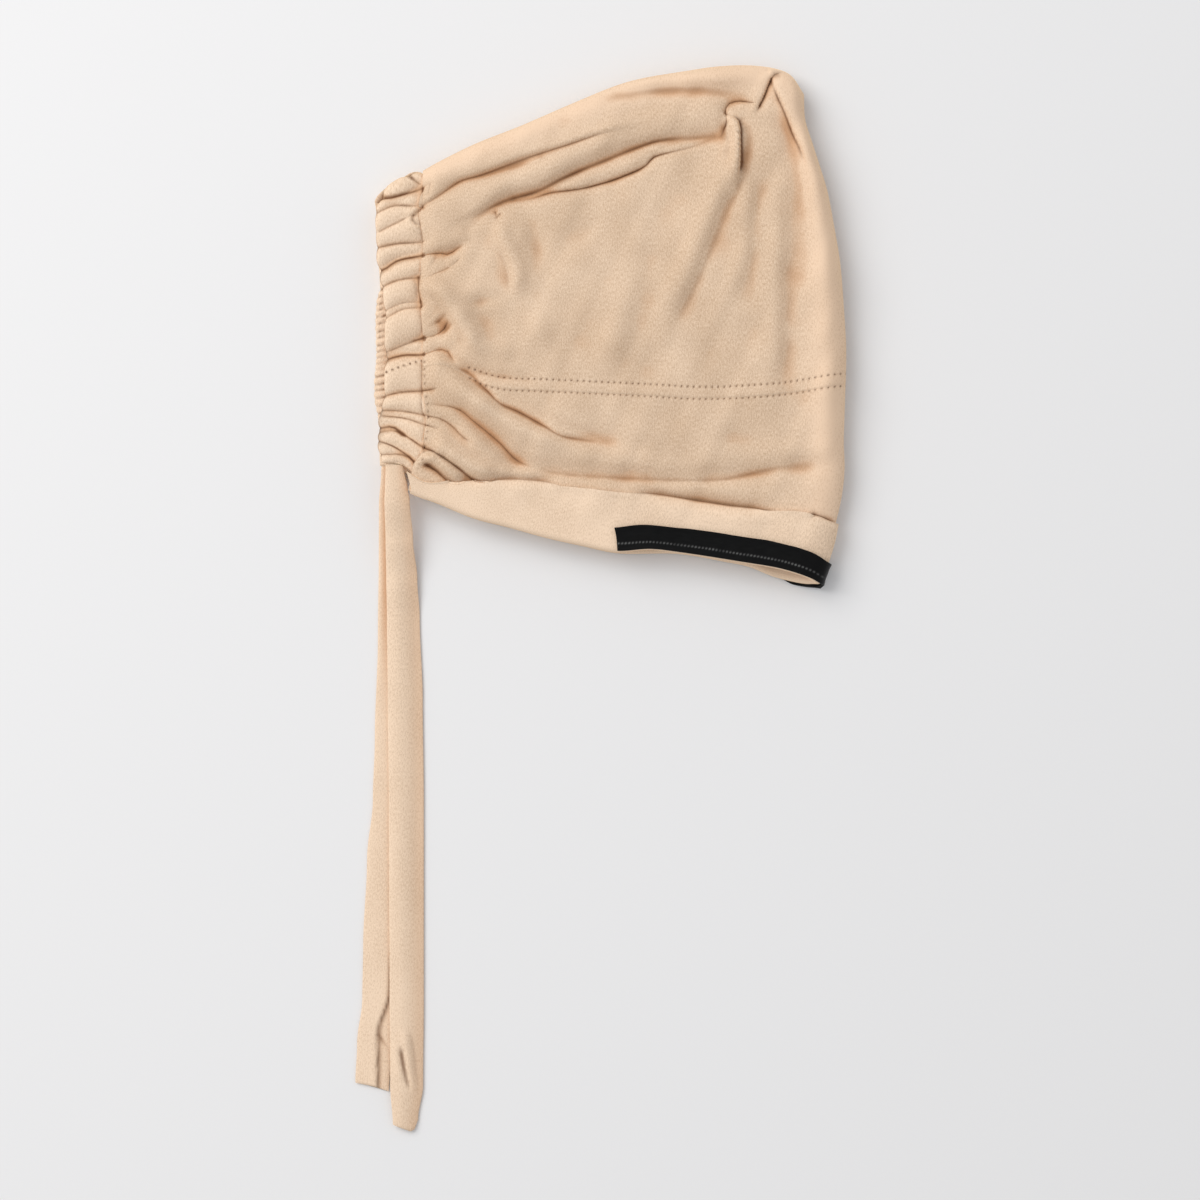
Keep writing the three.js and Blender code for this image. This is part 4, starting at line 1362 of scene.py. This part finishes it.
@dataclass
class Panel:
    """The lower panel's cloth, which the hem and the strip follow: once round the front fold.

    `around` runs from 0 at the near casing over 1 at the front fold to 2 at the far casing, and
    v runs up from the rim to the seam.
    """

    step_around: float = 0.002
    step_up: float = 0.006
    foot: float = 1.7  # the cloth turns this far above the traced rim, so its lip ends at the rim
    past_hem: tuple[float, float] = (1.0, 7.0)  # the hem's lift ends: from its edge, over
    past_strip: tuple[float, float] = (2.0, 6.0)
    strip_lead: tuple[float, float] = (0.06, 0.05)  # the strip's lift starts: before it, over

    def __post_init__(self) -> None:
        """Stretches the plans of both halves and keeps the lines that the hem follows."""
        self.plans = {
            Side.NEAR: Patch(NEAR_RIM, SEAM, CASING_SEAM_LOWER, FRONT_FOLD_LOWER),
            Side.FAR: Patch(FAR_RIM, SEAM, CASING_SEAM_LOWER, FRONT_FOLD_LOWER),
        }
        self.rims = {Side.NEAR: Line(NEAR_RIM), Side.FAR: Line(FAR_RIM)}
        self.seam, self.hem_top, self.strip_top = Line(SEAM), Line(HEM_TOP), Line(STRIP_TOP)

    def rim(self, around: Array) -> Array:
        """Gives the place on the rim below."""
        near, u = (around <= 1)[..., None], across_at(around)
        return np.where(near, self.rims[Side.NEAR].at(u), self.rims[Side.FAR].at(u))

    def tall(self, around: Array) -> Array:
        """Tells how far it is from the rim to the seam."""
        return np.linalg.norm(self.seam.at(across_at(around)) - self.rim(around), axis=-1)

    def share_up(self, line: Array, around: Array) -> Array:
        """Tells how far up the panel a line lies, as a share of the panel's height there."""
        return np.linalg.norm(line - self.rim(around), axis=-1) / self.tall(around)

    def hem_share(self, around: Array) -> Array:
        """Gives the share up of the hem's top edge."""
        return self.share_up(self.hem_top.at(across_at(around)), around)

    def foot_share(self, around: Array) -> Array:
        """Gives the share up where the hem turns round the rim."""
        return self.foot / self.tall(around)

    def strip_share(self, around: Array) -> Array:
        """Gives the share up of the grip strip's top edge."""
        along = (across_at(around) - STRIP_START) / (1 - STRIP_START)
        return self.share_up(self.strip_top.at(along), around)

    def lift(self, around: Array, v: Array) -> Array:
        """Tells how far the hem and the strip under it lift the far half, fading past each.

        Args:
            around: Shares round the panel, 0 to 2.
            v: Shares up from the rim.

        Returns:
            The lift at each place.
        """
        tall = self.tall(around)
        past_hem = (v - self.hem_share(around)) * tall
        on_strip = np.clip(around, STRIP_START, 2 - STRIP_START)
        past_strip = (v - self.strip_share(on_strip)) * tall
        lead, over = self.strip_lead
        hem = HEM_OFFSET * ease(1 - (past_hem - self.past_hem[0]) / self.past_hem[1])
        strip = ((STRIP_OFFSET + STRIP / 2 - HEM_OFFSET - JERSEY / 2)
                 * ease((across_at(around) - STRIP_START + lead) / over)
                 * ease(1 - (past_strip - self.past_strip[0]) / self.past_strip[1]))
        return hem + strip

    def middle(self, around: Array, v: Array) -> tuple[Array, Array]:
        """Works out the middle of the panel's cloth.

        The near half is the near level stretch and the far half lies on the table, lifted by the
        hem and the strip under it; both come to FOLD_HEIGHT by the front fold's roundness.

        Args:
            around: Shares round the panel, 0 to 2.
            v: Shares up from the rim.

        Returns:
            Places with the last axis x, y, z, and the rise of the folds alone.
        """
        u = across_at(around)
        near = around <= 1
        xy = np.where(near[..., None], self.plans[Side.NEAR].at(u, v),
                      self.plans[Side.FAR].at(u, v))
        from_casing = u * CAP_WIDTH
        heights = near_height(xy, from_casing, v * self.tall(around))
        far = far_height(self.lift(around, v), from_casing)
        roundness = rounded((1 - u) * CAP_WIDTH, FRONT_ROLL)
        z = folded(np.where(near, heights.z, far), roundness)
        return np.concatenate([xy, z[..., None]], -1), np.where(near, heights.rise, 0) * roundness

    def axes(self, around: Array, v: Array) -> tuple[Array, Array]:
        """Gives the direction down the panel and the one out of its face, from small steps.

        Args:
            around: Shares round the panel, 0 to 2.
            v: Shares up from the rim.

        Returns:
            Two unit vectors for each place.
        """
        step, rise = self.step_around, self.step_up
        forward = unit(self.middle(np.minimum(around + step, 2), v)[0]
                       - self.middle(np.maximum(around - step, 0), v)[0])
        down = unit(self.middle(around, np.maximum(v - rise, 0))[0]
                    - self.middle(around, np.minimum(v + rise, 1))[0])
        return down, unit(np.cross(down, forward))


def around_fold(width: float, roll: float, near_cells: tuple[int, int],
                far_cells: tuple[int, int]) -> Array:
    """Gives places round a fold, 0 to 2, with the near and the far half's flat and roll cells.

    Args:
        width: How far each half reaches.
        roll: How far from the fold the roll starts.
        near_cells: The near half's cells before the roll and round it.
        far_cells: The far half's.

    Returns:
        The places, with the fold at 1.
    """
    near = towards_fold(width, roll, *near_cells)
    far = towards_fold(width, roll, *far_cells)
    return np.concatenate([near, 2 - far[-2::-1]])


# The columns of the panel and the hem: fine over the near half and coarse under it.
PANEL_COLUMNS = around_fold(CAP_WIDTH, FRONT_ROLL, (300, 28), (144, 16))


@dataclass
class FrontPanel(SubAssembly):
    """The lower panel, from the rim up to the double-needle seam."""

    panel: Panel
    hem_rows: int = 12
    open_rows: int = 92
    coarse: int = 4
    tall: float = 75.0
    far_top: float = 0.952
    turn: float = 0.08
    tie_reach: float = 9.0
    tie_top: float = 68.0
    tie_fade: float = 8.0
    tie_pull: float = 3.2
    role: Role = Role("front_panel_cloth", "front_panel", "jersey", (0.392, 0.082), "folded",
                      ("turned_cuff_cloth",))

    def surface(self) -> Surface:
        """Lays the grid: a few rows under the hem and fine rows from there to the seam.

        Returns:
            The panel.
        """
        share = np.linspace(0, 1, self.hem_rows, endpoint=False)
        rows = np.concatenate([share, 1 + np.linspace(0, 1, self.open_rows + 1)])
        a, row = np.meshgrid(PANEL_COLUMNS, rows, indexing="ij")
        hem = self.panel.hem_share(a)
        top = mix(1.0, self.far_top, ease((a - 1) / self.turn))
        v = np.where(row <= 1, mix(self.panel.foot_share(a), hem, row), mix(hem, top, row - 1))
        places, rise = self.panel.middle(a, v)
        at_tie = (ease(1 - a * CAP_WIDTH / self.tie_reach)
                  * ease((self.tie_top - places[..., 1]) / self.tie_fade))
        places[..., 0] -= self.tie_pull * at_tie
        near = a < 1
        holes = needle_holes(BODY_ROWS, places[..., 0], places[..., 1]) * near
        # Painted glow by the front fold, on the near half.
        glow = painted_fold_glow((1 - a) * CAP_WIDTH, np.inf) * near
        marks = Marks.of(rise, holes, a * CAP_WIDTH, v * self.tall, glow=glow)
        drop = rise - lowest_nearby(rise, self.coarse)
        return Cloth.of_grid(places, self.coarse, JERSEY / 2, drop, marks).closed()


@dataclass
class TurnedCuff(SubAssembly):
    """The front hem, turned up outside over the panel, with its lip round the rim."""

    panel: Panel
    outside_rows: int = 40
    lip_rows: int = 8
    inside_rows: int = 4
    inset: float = 0.006
    coarse: int = 2
    tall: float = 24.0
    bead: float = 0.45
    bead_reach: float = 1.8
    bead_fade: float = 0.04
    corner_reach: float = 10.0
    corner_low: tuple[float, float, float] = (-3.2, 1.2, -0.8)
    corner_high: tuple[float, float, float] = (-6.2, 6.0, -0.6)
    corner_power: tuple[float, float, float] = (1.0, 2.4, 1.0)
    role: Role = Role("turned_cuff_cloth", "turned_cuff", "jersey", (0.39, 0.034), "folded",
                      ("front_panel_cloth",))

    def columns(self) -> Array:
        """Gives the panel's columns between the hem's two ends, a whole number of coarse cells.

        Returns:
            The columns, as places round the panel.
        """
        clear = 1.2 * self.inset
        inside = PANEL_COLUMNS[(PANEL_COLUMNS > clear) & (PANEL_COLUMNS < 2 - clear)]
        columns = np.concatenate([[self.inset], inside, [2 - self.inset]])
        extra = (len(columns) - 1) % self.coarse
        return np.delete(columns, range(3, 3 + extra))

    def surface(self) -> Surface:
        """Lays the hem over the panel, turns it half round the rim and runs it up inside.

        Its top edge is a bead, and its near corner is drawn out to the tie.

        Returns:
            The hem.
        """
        rows = np.concatenate([
            np.linspace(0, 1, self.outside_rows, endpoint=False),
            np.linspace(1, 2, self.lip_rows, endpoint=False),
            np.linspace(2, 3, self.inside_rows + 1)])
        a, row = np.meshgrid(self.columns(), rows, indexing="ij")
        v = mix(self.panel.hem_share(a), self.panel.foot_share(a), clamped(row))
        places, rise = self.panel.middle(a, v)
        down, out = self.panel.axes(a, v)
        angle = np.pi * (np.clip(row, 1, 2) - 1)[..., None]
        bead = self.bead * np.exp(-(row * self.tall / self.bead_reach) ** 2)
        bead = bead * ease((1 - a) / self.bead_fade)
        places = places + (HEM_OFFSET + bead[..., None]) * out * np.cos(angle)
        places = places + HEM_OFFSET * down * np.sin(angle)
        places = places - down * HEM_LIP * np.maximum(row - 2, 0)[..., None]
        pull = ease(1 - a * CAP_WIDTH / self.corner_reach)[..., None] ** self.corner_power
        corner = mix(np.array(self.corner_high), np.array(self.corner_low),
                     clamped(row)[..., None])
        places = places + pull * corner
        # The hem lies on the panel, so it is paler all over.
        marks = Marks.of(rise, 0.0, a * CAP_WIDTH, -row * self.tall, doubled_and_painted_glow=1.0)
        return Cloth.of_grid(places, self.coarse, JERSEY / 2, np.zeros(a.shape), marks,
                             turned=True).closed()


@dataclass
class GripStrip(SubAssembly):
    """The black no-slip strip on the hem's lower edge, round the front fold to the far half."""

    panel: Panel
    rows: int = 28
    columns: int = 480
    coarse: int = 4
    wide: float = 9.5
    end_inset: float = 0.0065
    end_slant: float = 0.0235
    past_near: float = 0.5
    past_far: float = 2.2
    past_start: tuple[float, float] = (0.9, 0.05)  # share across where the far half's starts, over
    stitch: tuple[float, float, float] = (1.6, 0.29, 0.28)  # pitch, share up and half width
    stitch_long: float = 0.3  # above 0, a stitch is longer than the gap to the next
    thread_rise: float = 0.18
    edge_rise: float = 0.35
    edge_reach: float = 0.16
    role: Role = Role("grip_strip_tape", "grip_strip", "grip", (0.205, 0.0115), "folded",
                      ("turned_cuff_cloth",))

    def thread(self, a: Array, row: Array) -> Array:
        """Tells how high the sewing thread lies: a cosine along, cut off below -stitch_long,
        times exp(-(distance / half width)^2).

        Args:
            a: Shares round the panel, 0 to 2.
            row: Shares up the strip.

        Returns:
            The height at each place, 0 to 1, on the near half alone.
        """
        pitch, share_up, half_width = self.stitch
        along = clamped(self.stitch_long + np.cos(2 * np.pi * a * CAP_WIDTH / pitch))
        return along * np.exp(-((row - share_up) * self.wide / half_width) ** 2) * (a <= 1)

    def surface(self) -> Surface:
        """Lays the strip over the hem, with both long edges raised a little.

        Returns:
            The strip.
        """
        along = np.linspace(0, 1, self.columns + 1)
        t, row = np.meshgrid(along, np.linspace(0, 1, self.rows + 1), indexing="ij")
        start = STRIP_START + self.end_inset + self.end_slant * (1 - row)
        a = mix(start, 2 - start, t)
        near = a <= 1
        low = STRIP_RISE / self.panel.tall(a)
        v = mix(low, self.panel.strip_share(a), row)
        places, _ = self.panel.middle(a, v)
        down, out = self.panel.axes(a, v)
        edge = self.edge_rise * np.exp(-((0.5 - np.abs(row - 0.5)) / self.edge_reach) ** 2)
        thread = self.thread(a, row)
        places = places + out * (STRIP_OFFSET + np.where(near, edge, 0))[..., None]
        places = places + out * (self.thread_rise * thread)[..., None]
        from_share, over = self.past_start
        past = np.where(near, self.past_near,
                        self.past_far * ease((across_at(a) - from_share) / over))
        places = places + down * (past * (1 - row) ** 2)[..., None]
        # The thread's height also marks where its painted glint goes.
        marks = Marks.of(0 * a, thread, a * CAP_WIDTH, row * self.wide)
        return Cloth.of_grid(places, self.coarse, STRIP / 2, 0 * a, marks).closed()


SIDE_FADE = 0.4  # folds fade round a tube's sides by this power of the sine
DEEPEST = 0.4  # and press its upper side at most this share of its height under the middle


@dataclass
class BackCasing(SubAssembly):
    """The gathered channel at the back: one band folded over at the top, round like a tube."""

    around: int = 72
    near_cells: tuple[int, int] = (300, 14)
    far_cells: tuple[int, int] = (130, 8)
    step_along: float = 0.004
    step_across: float = 0.02
    flatness: float = 5.0
    end_height: float = 0.35
    end_round: float = 2.2
    scallop: float = 0.45
    scallop_power: int = 4
    deeper: float = 1.15
    puff: float = 1.0
    puff_reach: int = 6
    wave_reach: int = 12
    wide: float = 18.0
    doubled_and_painted_glow: float = 0.9
    ribs: tuple[float, ...] = (289, 296, 303, 309, 316, 323, 331, 337, 345, 351, 357, 363, 369,
                               376, 384, 390, 398, 406, 413, 421, 429)
    role: Role = Role("back_casing_cloth", "back_casing", "jersey", (0.0235, 0.285), "gathered",
                      ("crown_cloth", "front_panel_cloth"))

    def __post_init__(self) -> None:
        """Stretches the plans of both bands."""
        self.plans = {
            Side.NEAR: Patch(CASING_END, CASING_TOP_FOLD, CASING_NEAR_EDGE, CASING_INNER_EDGE),
            Side.FAR: Patch(CASING_FAR_END, CASING_TOP_FOLD, CASING_FAR_EDGE, CASING_INNER_EDGE),
        }
        self.length = Line(CASING_NEAR_EDGE).length
        self.roll = FOLD_HEIGHT - CASING_FAR

    def plan(self, s: Array, v: Array, near: Array) -> Array:
        """Gives the near or the far band's place, s across from its outer edge and v up."""
        return np.where(near[..., None], self.plans[Side.NEAR].at(s, v),
                        self.plans[Side.FAR].at(s, v))

    def middle(self, s: Array, t: Array) -> Array:
        """Works out the band's middle, which comes to FOLD_HEIGHT by the fold's roundness.

        Args:
            s: Shares across from the outer edge.
            t: Places along, 0 to 2, with the fold at 1.

        Returns:
            Places with the last axis x, y, z.
        """
        near, v = t <= 1, across_at(t)
        xy = self.plan(s, v, near)
        top = self.plan(s, np.ones_like(v), near)
        roundness = rounded(np.linalg.norm(top - xy, axis=-1), self.roll)
        z = folded(np.where(near, CASING_NEAR, CASING_FAR), roundness)
        return np.concatenate([xy, z[..., None]], -1)

    def out_of(self, s: Array, t: Array) -> Array:
        """Gives the direction out of the band's upper face, from small steps.

        Args:
            s: Shares across from the outer edge.
            t: Places along, 0 to 2.

        Returns:
            A unit vector for each place.
        """
        forward = unit(self.middle(s, np.minimum(t + self.step_along, 2))
                       - self.middle(s, np.maximum(t - self.step_along, 0)))
        across = unit(self.middle(np.minimum(s + self.step_across, 1), t)
                      - self.middle(np.maximum(s - self.step_across, 0), t))
        return unit(np.cross(across, forward))

    def surface(self) -> Surface:
        """Carries a flattened ring along the band.

        The ring lies (1 - |cos a|^flatness)^(1/2) times half the thickness off the middle, and
        the gathers press its upper side down.

        Returns:
            The casing.
        """
        along = around_fold(self.length, self.roll, self.near_cells, self.far_cells)
        angle = 2 * np.pi * np.arange(self.around) / self.around
        t, a = np.meshgrid(along, angle, indexing="ij")
        s = 0.5 - 0.5 * np.cos(a)
        place = self.middle(s, t)
        from_end = np.minimum(t, 2 - t) * self.length
        height = (np.sqrt(1 - np.abs(np.cos(a)) ** self.flatness)
                  * mix(self.end_height, 1, rounded(from_end, self.end_round)))
        upper = np.sin(a) > 0
        x, y = place[..., 0], place[..., 1]
        near_top = (t <= 1) & upper
        holes = CASING_ROW.holes(x, y) * near_top
        ribs = fold_rise(self.far_ribs(), x, y)
        gathers = self.deeper * fold_rise(GATHERS, x, y)
        pressed = np.where(t <= 1, gathers + self.puff * blurred(gathers, self.puff_reach),
                           ribs - blurred(ribs, self.wave_reach))
        rise = pressed * np.abs(np.sin(a)) ** SIDE_FADE * (near_top | ((t > 1) & ~upper))
        thick = np.maximum(height + (rise - HOLE_DEPTH * holes) / (CASING / 2), -DEEPEST * height)
        offset = CASING / 2 * thick * np.where(upper, 1, -1)
        wave = pressed - blurred(pressed, self.wave_reach)
        out = self.out_of(s, t)
        place[..., 0] -= self.scallop * wave * clamped(np.cos(a)) ** self.scallop_power
        marks = Marks.of(rise, holes, s * self.wide, t * self.length, doubled_and_painted_glow=self.doubled_and_painted_glow)
        surface = tube_surface(place + out * offset[..., None], marks)
        surface.blocks = [faces[:, ::-1] for faces in surface.blocks]
        return surface

    def far_ribs(self) -> tuple[Fold, ...]:
        """Makes the short gathers that show where the far band sticks out behind the near one."""
        return tuple(crease(2.2, 1.6, (370, y + 1), (380, y), (390, y - 2), ends=(1, 1))
                     for y in self.ribs)


@dataclass
class Tie(SubAssembly):
    """A tie: one strip folded lengthwise, from inside the casing's end to its free end."""

    role: Role
    table: Sequence[tuple[float, ...]]
    tip: Places
    folds: tuple[Fold, ...]
    # Painted shade, warmer in colour: beside the other tie and on the tie's right side.
    painted_warmth: tuple[float, float]  # how far it is in shade beside the other tie, and on its right
    around: int = 56
    rings: int = 420
    wide: float = 16.0
    flatness: float = 2.4
    end_height: float = 0.4
    end_round: float = 1.0
    tip_share: float = 0.06  # the last part of the tie, where its end bulges
    level_share: float = 0.3  # across the tie, up to where its left edge's height holds
    shade_up: tuple[float, float] = (-60.0, 70.0)  # the other's shade: from, over
    shade_across: float = 0.3
    shade_right: tuple[float, float] = (0.45, 0.5)  # the shade on the right: from, over

    def shade(self, s: Array, up: Array) -> Array:
        """Tells how much painted shade, warmer in colour, the tie gets beside the other tie and on
        its right.

        Args:
            s: Shares across from the left edge.
            up: How far up the places are.

        Returns:
            What its marks become warmer by.
        """
        beside, right = self.painted_warmth
        beside = beside * ease((up - self.shade_up[0]) / self.shade_up[1])
        right = right * ease((s - self.shade_right[0]) / self.shade_right[1])
        return beside * ease(s / self.shade_across) + right

    def surface(self) -> Surface:
        """Carries a flattened ring down the tie, between its two edges, with a bulging end.

        The ring lies (1 - |cos a|^flatness)^(1/2) times half the thickness off the middle.

        Returns:
            The tie.
        """
        low, high = self.table[-1][0], self.table[0][0]
        share = np.linspace(0, 1, self.rings + 1)
        angle = 2 * np.pi * np.arange(self.around) / self.around
        t, a = np.meshgrid(share, angle, indexing="ij")
        s = 0.5 - 0.5 * np.cos(a)
        up = mix(high, low, t)
        left, right, left_height, right_height = (
            eased_level(self.table, column, up) for column in (1, 2, 3, 4))
        shares, drops = np.array(self.tip).T
        bulge = np.interp(s, shares, drops) * ease((t - 1 + self.tip_share) / self.tip_share)
        x = mix(left, right, s)
        y = up - bulge
        z = mix(left_height, right_height,
                ease((s - self.level_share) / (1 - self.level_share)))
        ends = rounded(np.minimum(t, 1 - t) * (high - low), self.end_round)
        height = ((TIE / 2) * (1 - np.abs(np.cos(a)) ** self.flatness) ** 0.5
                  * mix(self.end_height, 1, ends))
        upper = np.sin(a) > 0
        rise = fold_rise(self.folds, x, y) * np.abs(np.sin(a)) ** SIDE_FADE * upper
        z = z + np.where(upper, np.maximum(height + rise, -DEEPEST * height), -height)
        marks = Marks.of(rise, 0.0, s * self.wide, up, doubled_and_painted_glow=1.0)
        # Painted shade beside the other tie and on its right.
        marks.crease = clamped(marks.crease + self.shade(s, up).ravel())
        return tube_surface(np.stack([x, y, z], -1), marks)


@dataclass
class Studio:
    """The table, the camera over it and the soft daylight from the upper left."""

    height: float = 1.55
    view_width: float = 0.5548
    sensor: float = 36.0
    table_size: float = 12.0
    window_place: tuple[float, float, float] = (-1.5, 1.15, 1.85)
    window_size: float = 1.8
    window_power: float = 43.0
    room_colour: int = 0xF4F5F8
    room_strength: float = 0.66

    def build(self, table: bpy.types.Material) -> None:
        """Makes the table, the camera, the window and the room's light.

        Args:
            table: The table's finish.
        """
        scene = bpy.context.scene
        scene.view_settings.view_transform = "Standard"
        half = self.table_size / 2
        mesh = bpy.data.meshes.new("table")
        corners = [(-half, -half, 0), (half, -half, 0), (half, half, 0), (-half, half, 0)]
        mesh.from_pydata(corners, [], [(0, 1, 2, 3)])
        mesh.materials.append(table)
        floor = bpy.data.objects.new("table", mesh)
        scene.collection.objects.link(floor)
        lens = bpy.data.cameras.new("camera")
        lens.sensor_width = self.sensor
        lens.lens = self.sensor * self.height / self.view_width
        camera = bpy.data.objects.new("camera", lens)
        camera.location = (0, 0, self.height)
        scene.collection.objects.link(camera)
        scene.camera = camera
        self.light_window()
        world = bpy.data.worlds.new("room")
        world.use_nodes = True
        background = world.node_tree.nodes["Background"]
        background.inputs["Color"].default_value = linear(self.room_colour)
        background.inputs["Strength"].default_value = self.room_strength
        scene.world = world

    def light_window(self) -> None:
        """Adds a square soft light that looks at the middle of the table."""
        data = bpy.data.lights.new("window", "AREA")
        data.size = self.window_size
        data.energy = self.window_power
        lamp = bpy.data.objects.new("window", data)
        lamp.location = self.window_place
        lamp.rotation_euler = (-Vector(self.window_place)).to_track_quat("-Z", "Y").to_euler()
        bpy.context.scene.collection.objects.link(lamp)


def main() -> None:
    """Builds the studio and every sub-assembly."""
    logging.basicConfig(level=logging.INFO, format="%(message)s")
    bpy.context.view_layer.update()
    jersey, grip = JerseyFinish().material(), GripFinish().material()
    Studio().build(TableFinish().material())
    panel = Panel()
    on_casing = ("back_casing_cloth",)
    near_tie = Role("near_tie_cloth", "near_tie", "jersey", (0.017, 0.306), "folded", on_casing)
    far_tie = Role("far_tie_cloth", "far_tie", "jersey", (0.0165, 0.288), "folded", on_casing)
    parts: list[tuple[SubAssembly, bpy.types.Material]] = [
        (FrontPanel(panel), jersey),
        (TurnedCuff(panel), jersey),
        (GripStrip(panel), grip),
        (Crown(), jersey),
        (BackCasing(), jersey),
        (Tie(near_tie, NEAR_TIE, NEAR_TIP, NEAR_TIE_FOLDS, (0.0, 0.4)), jersey),
        (Tie(far_tie, FAR_TIE, FAR_TIP, FAR_TIE_FOLDS, (0.9, 0.1)), jersey),
    ]
    for part, material in parts:
        piece = part.build(material)
        LOG.info("%s: %d faces", piece.name, len(piece.data.polygons))
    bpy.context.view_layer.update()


if __name__ == "__main__":
    main()
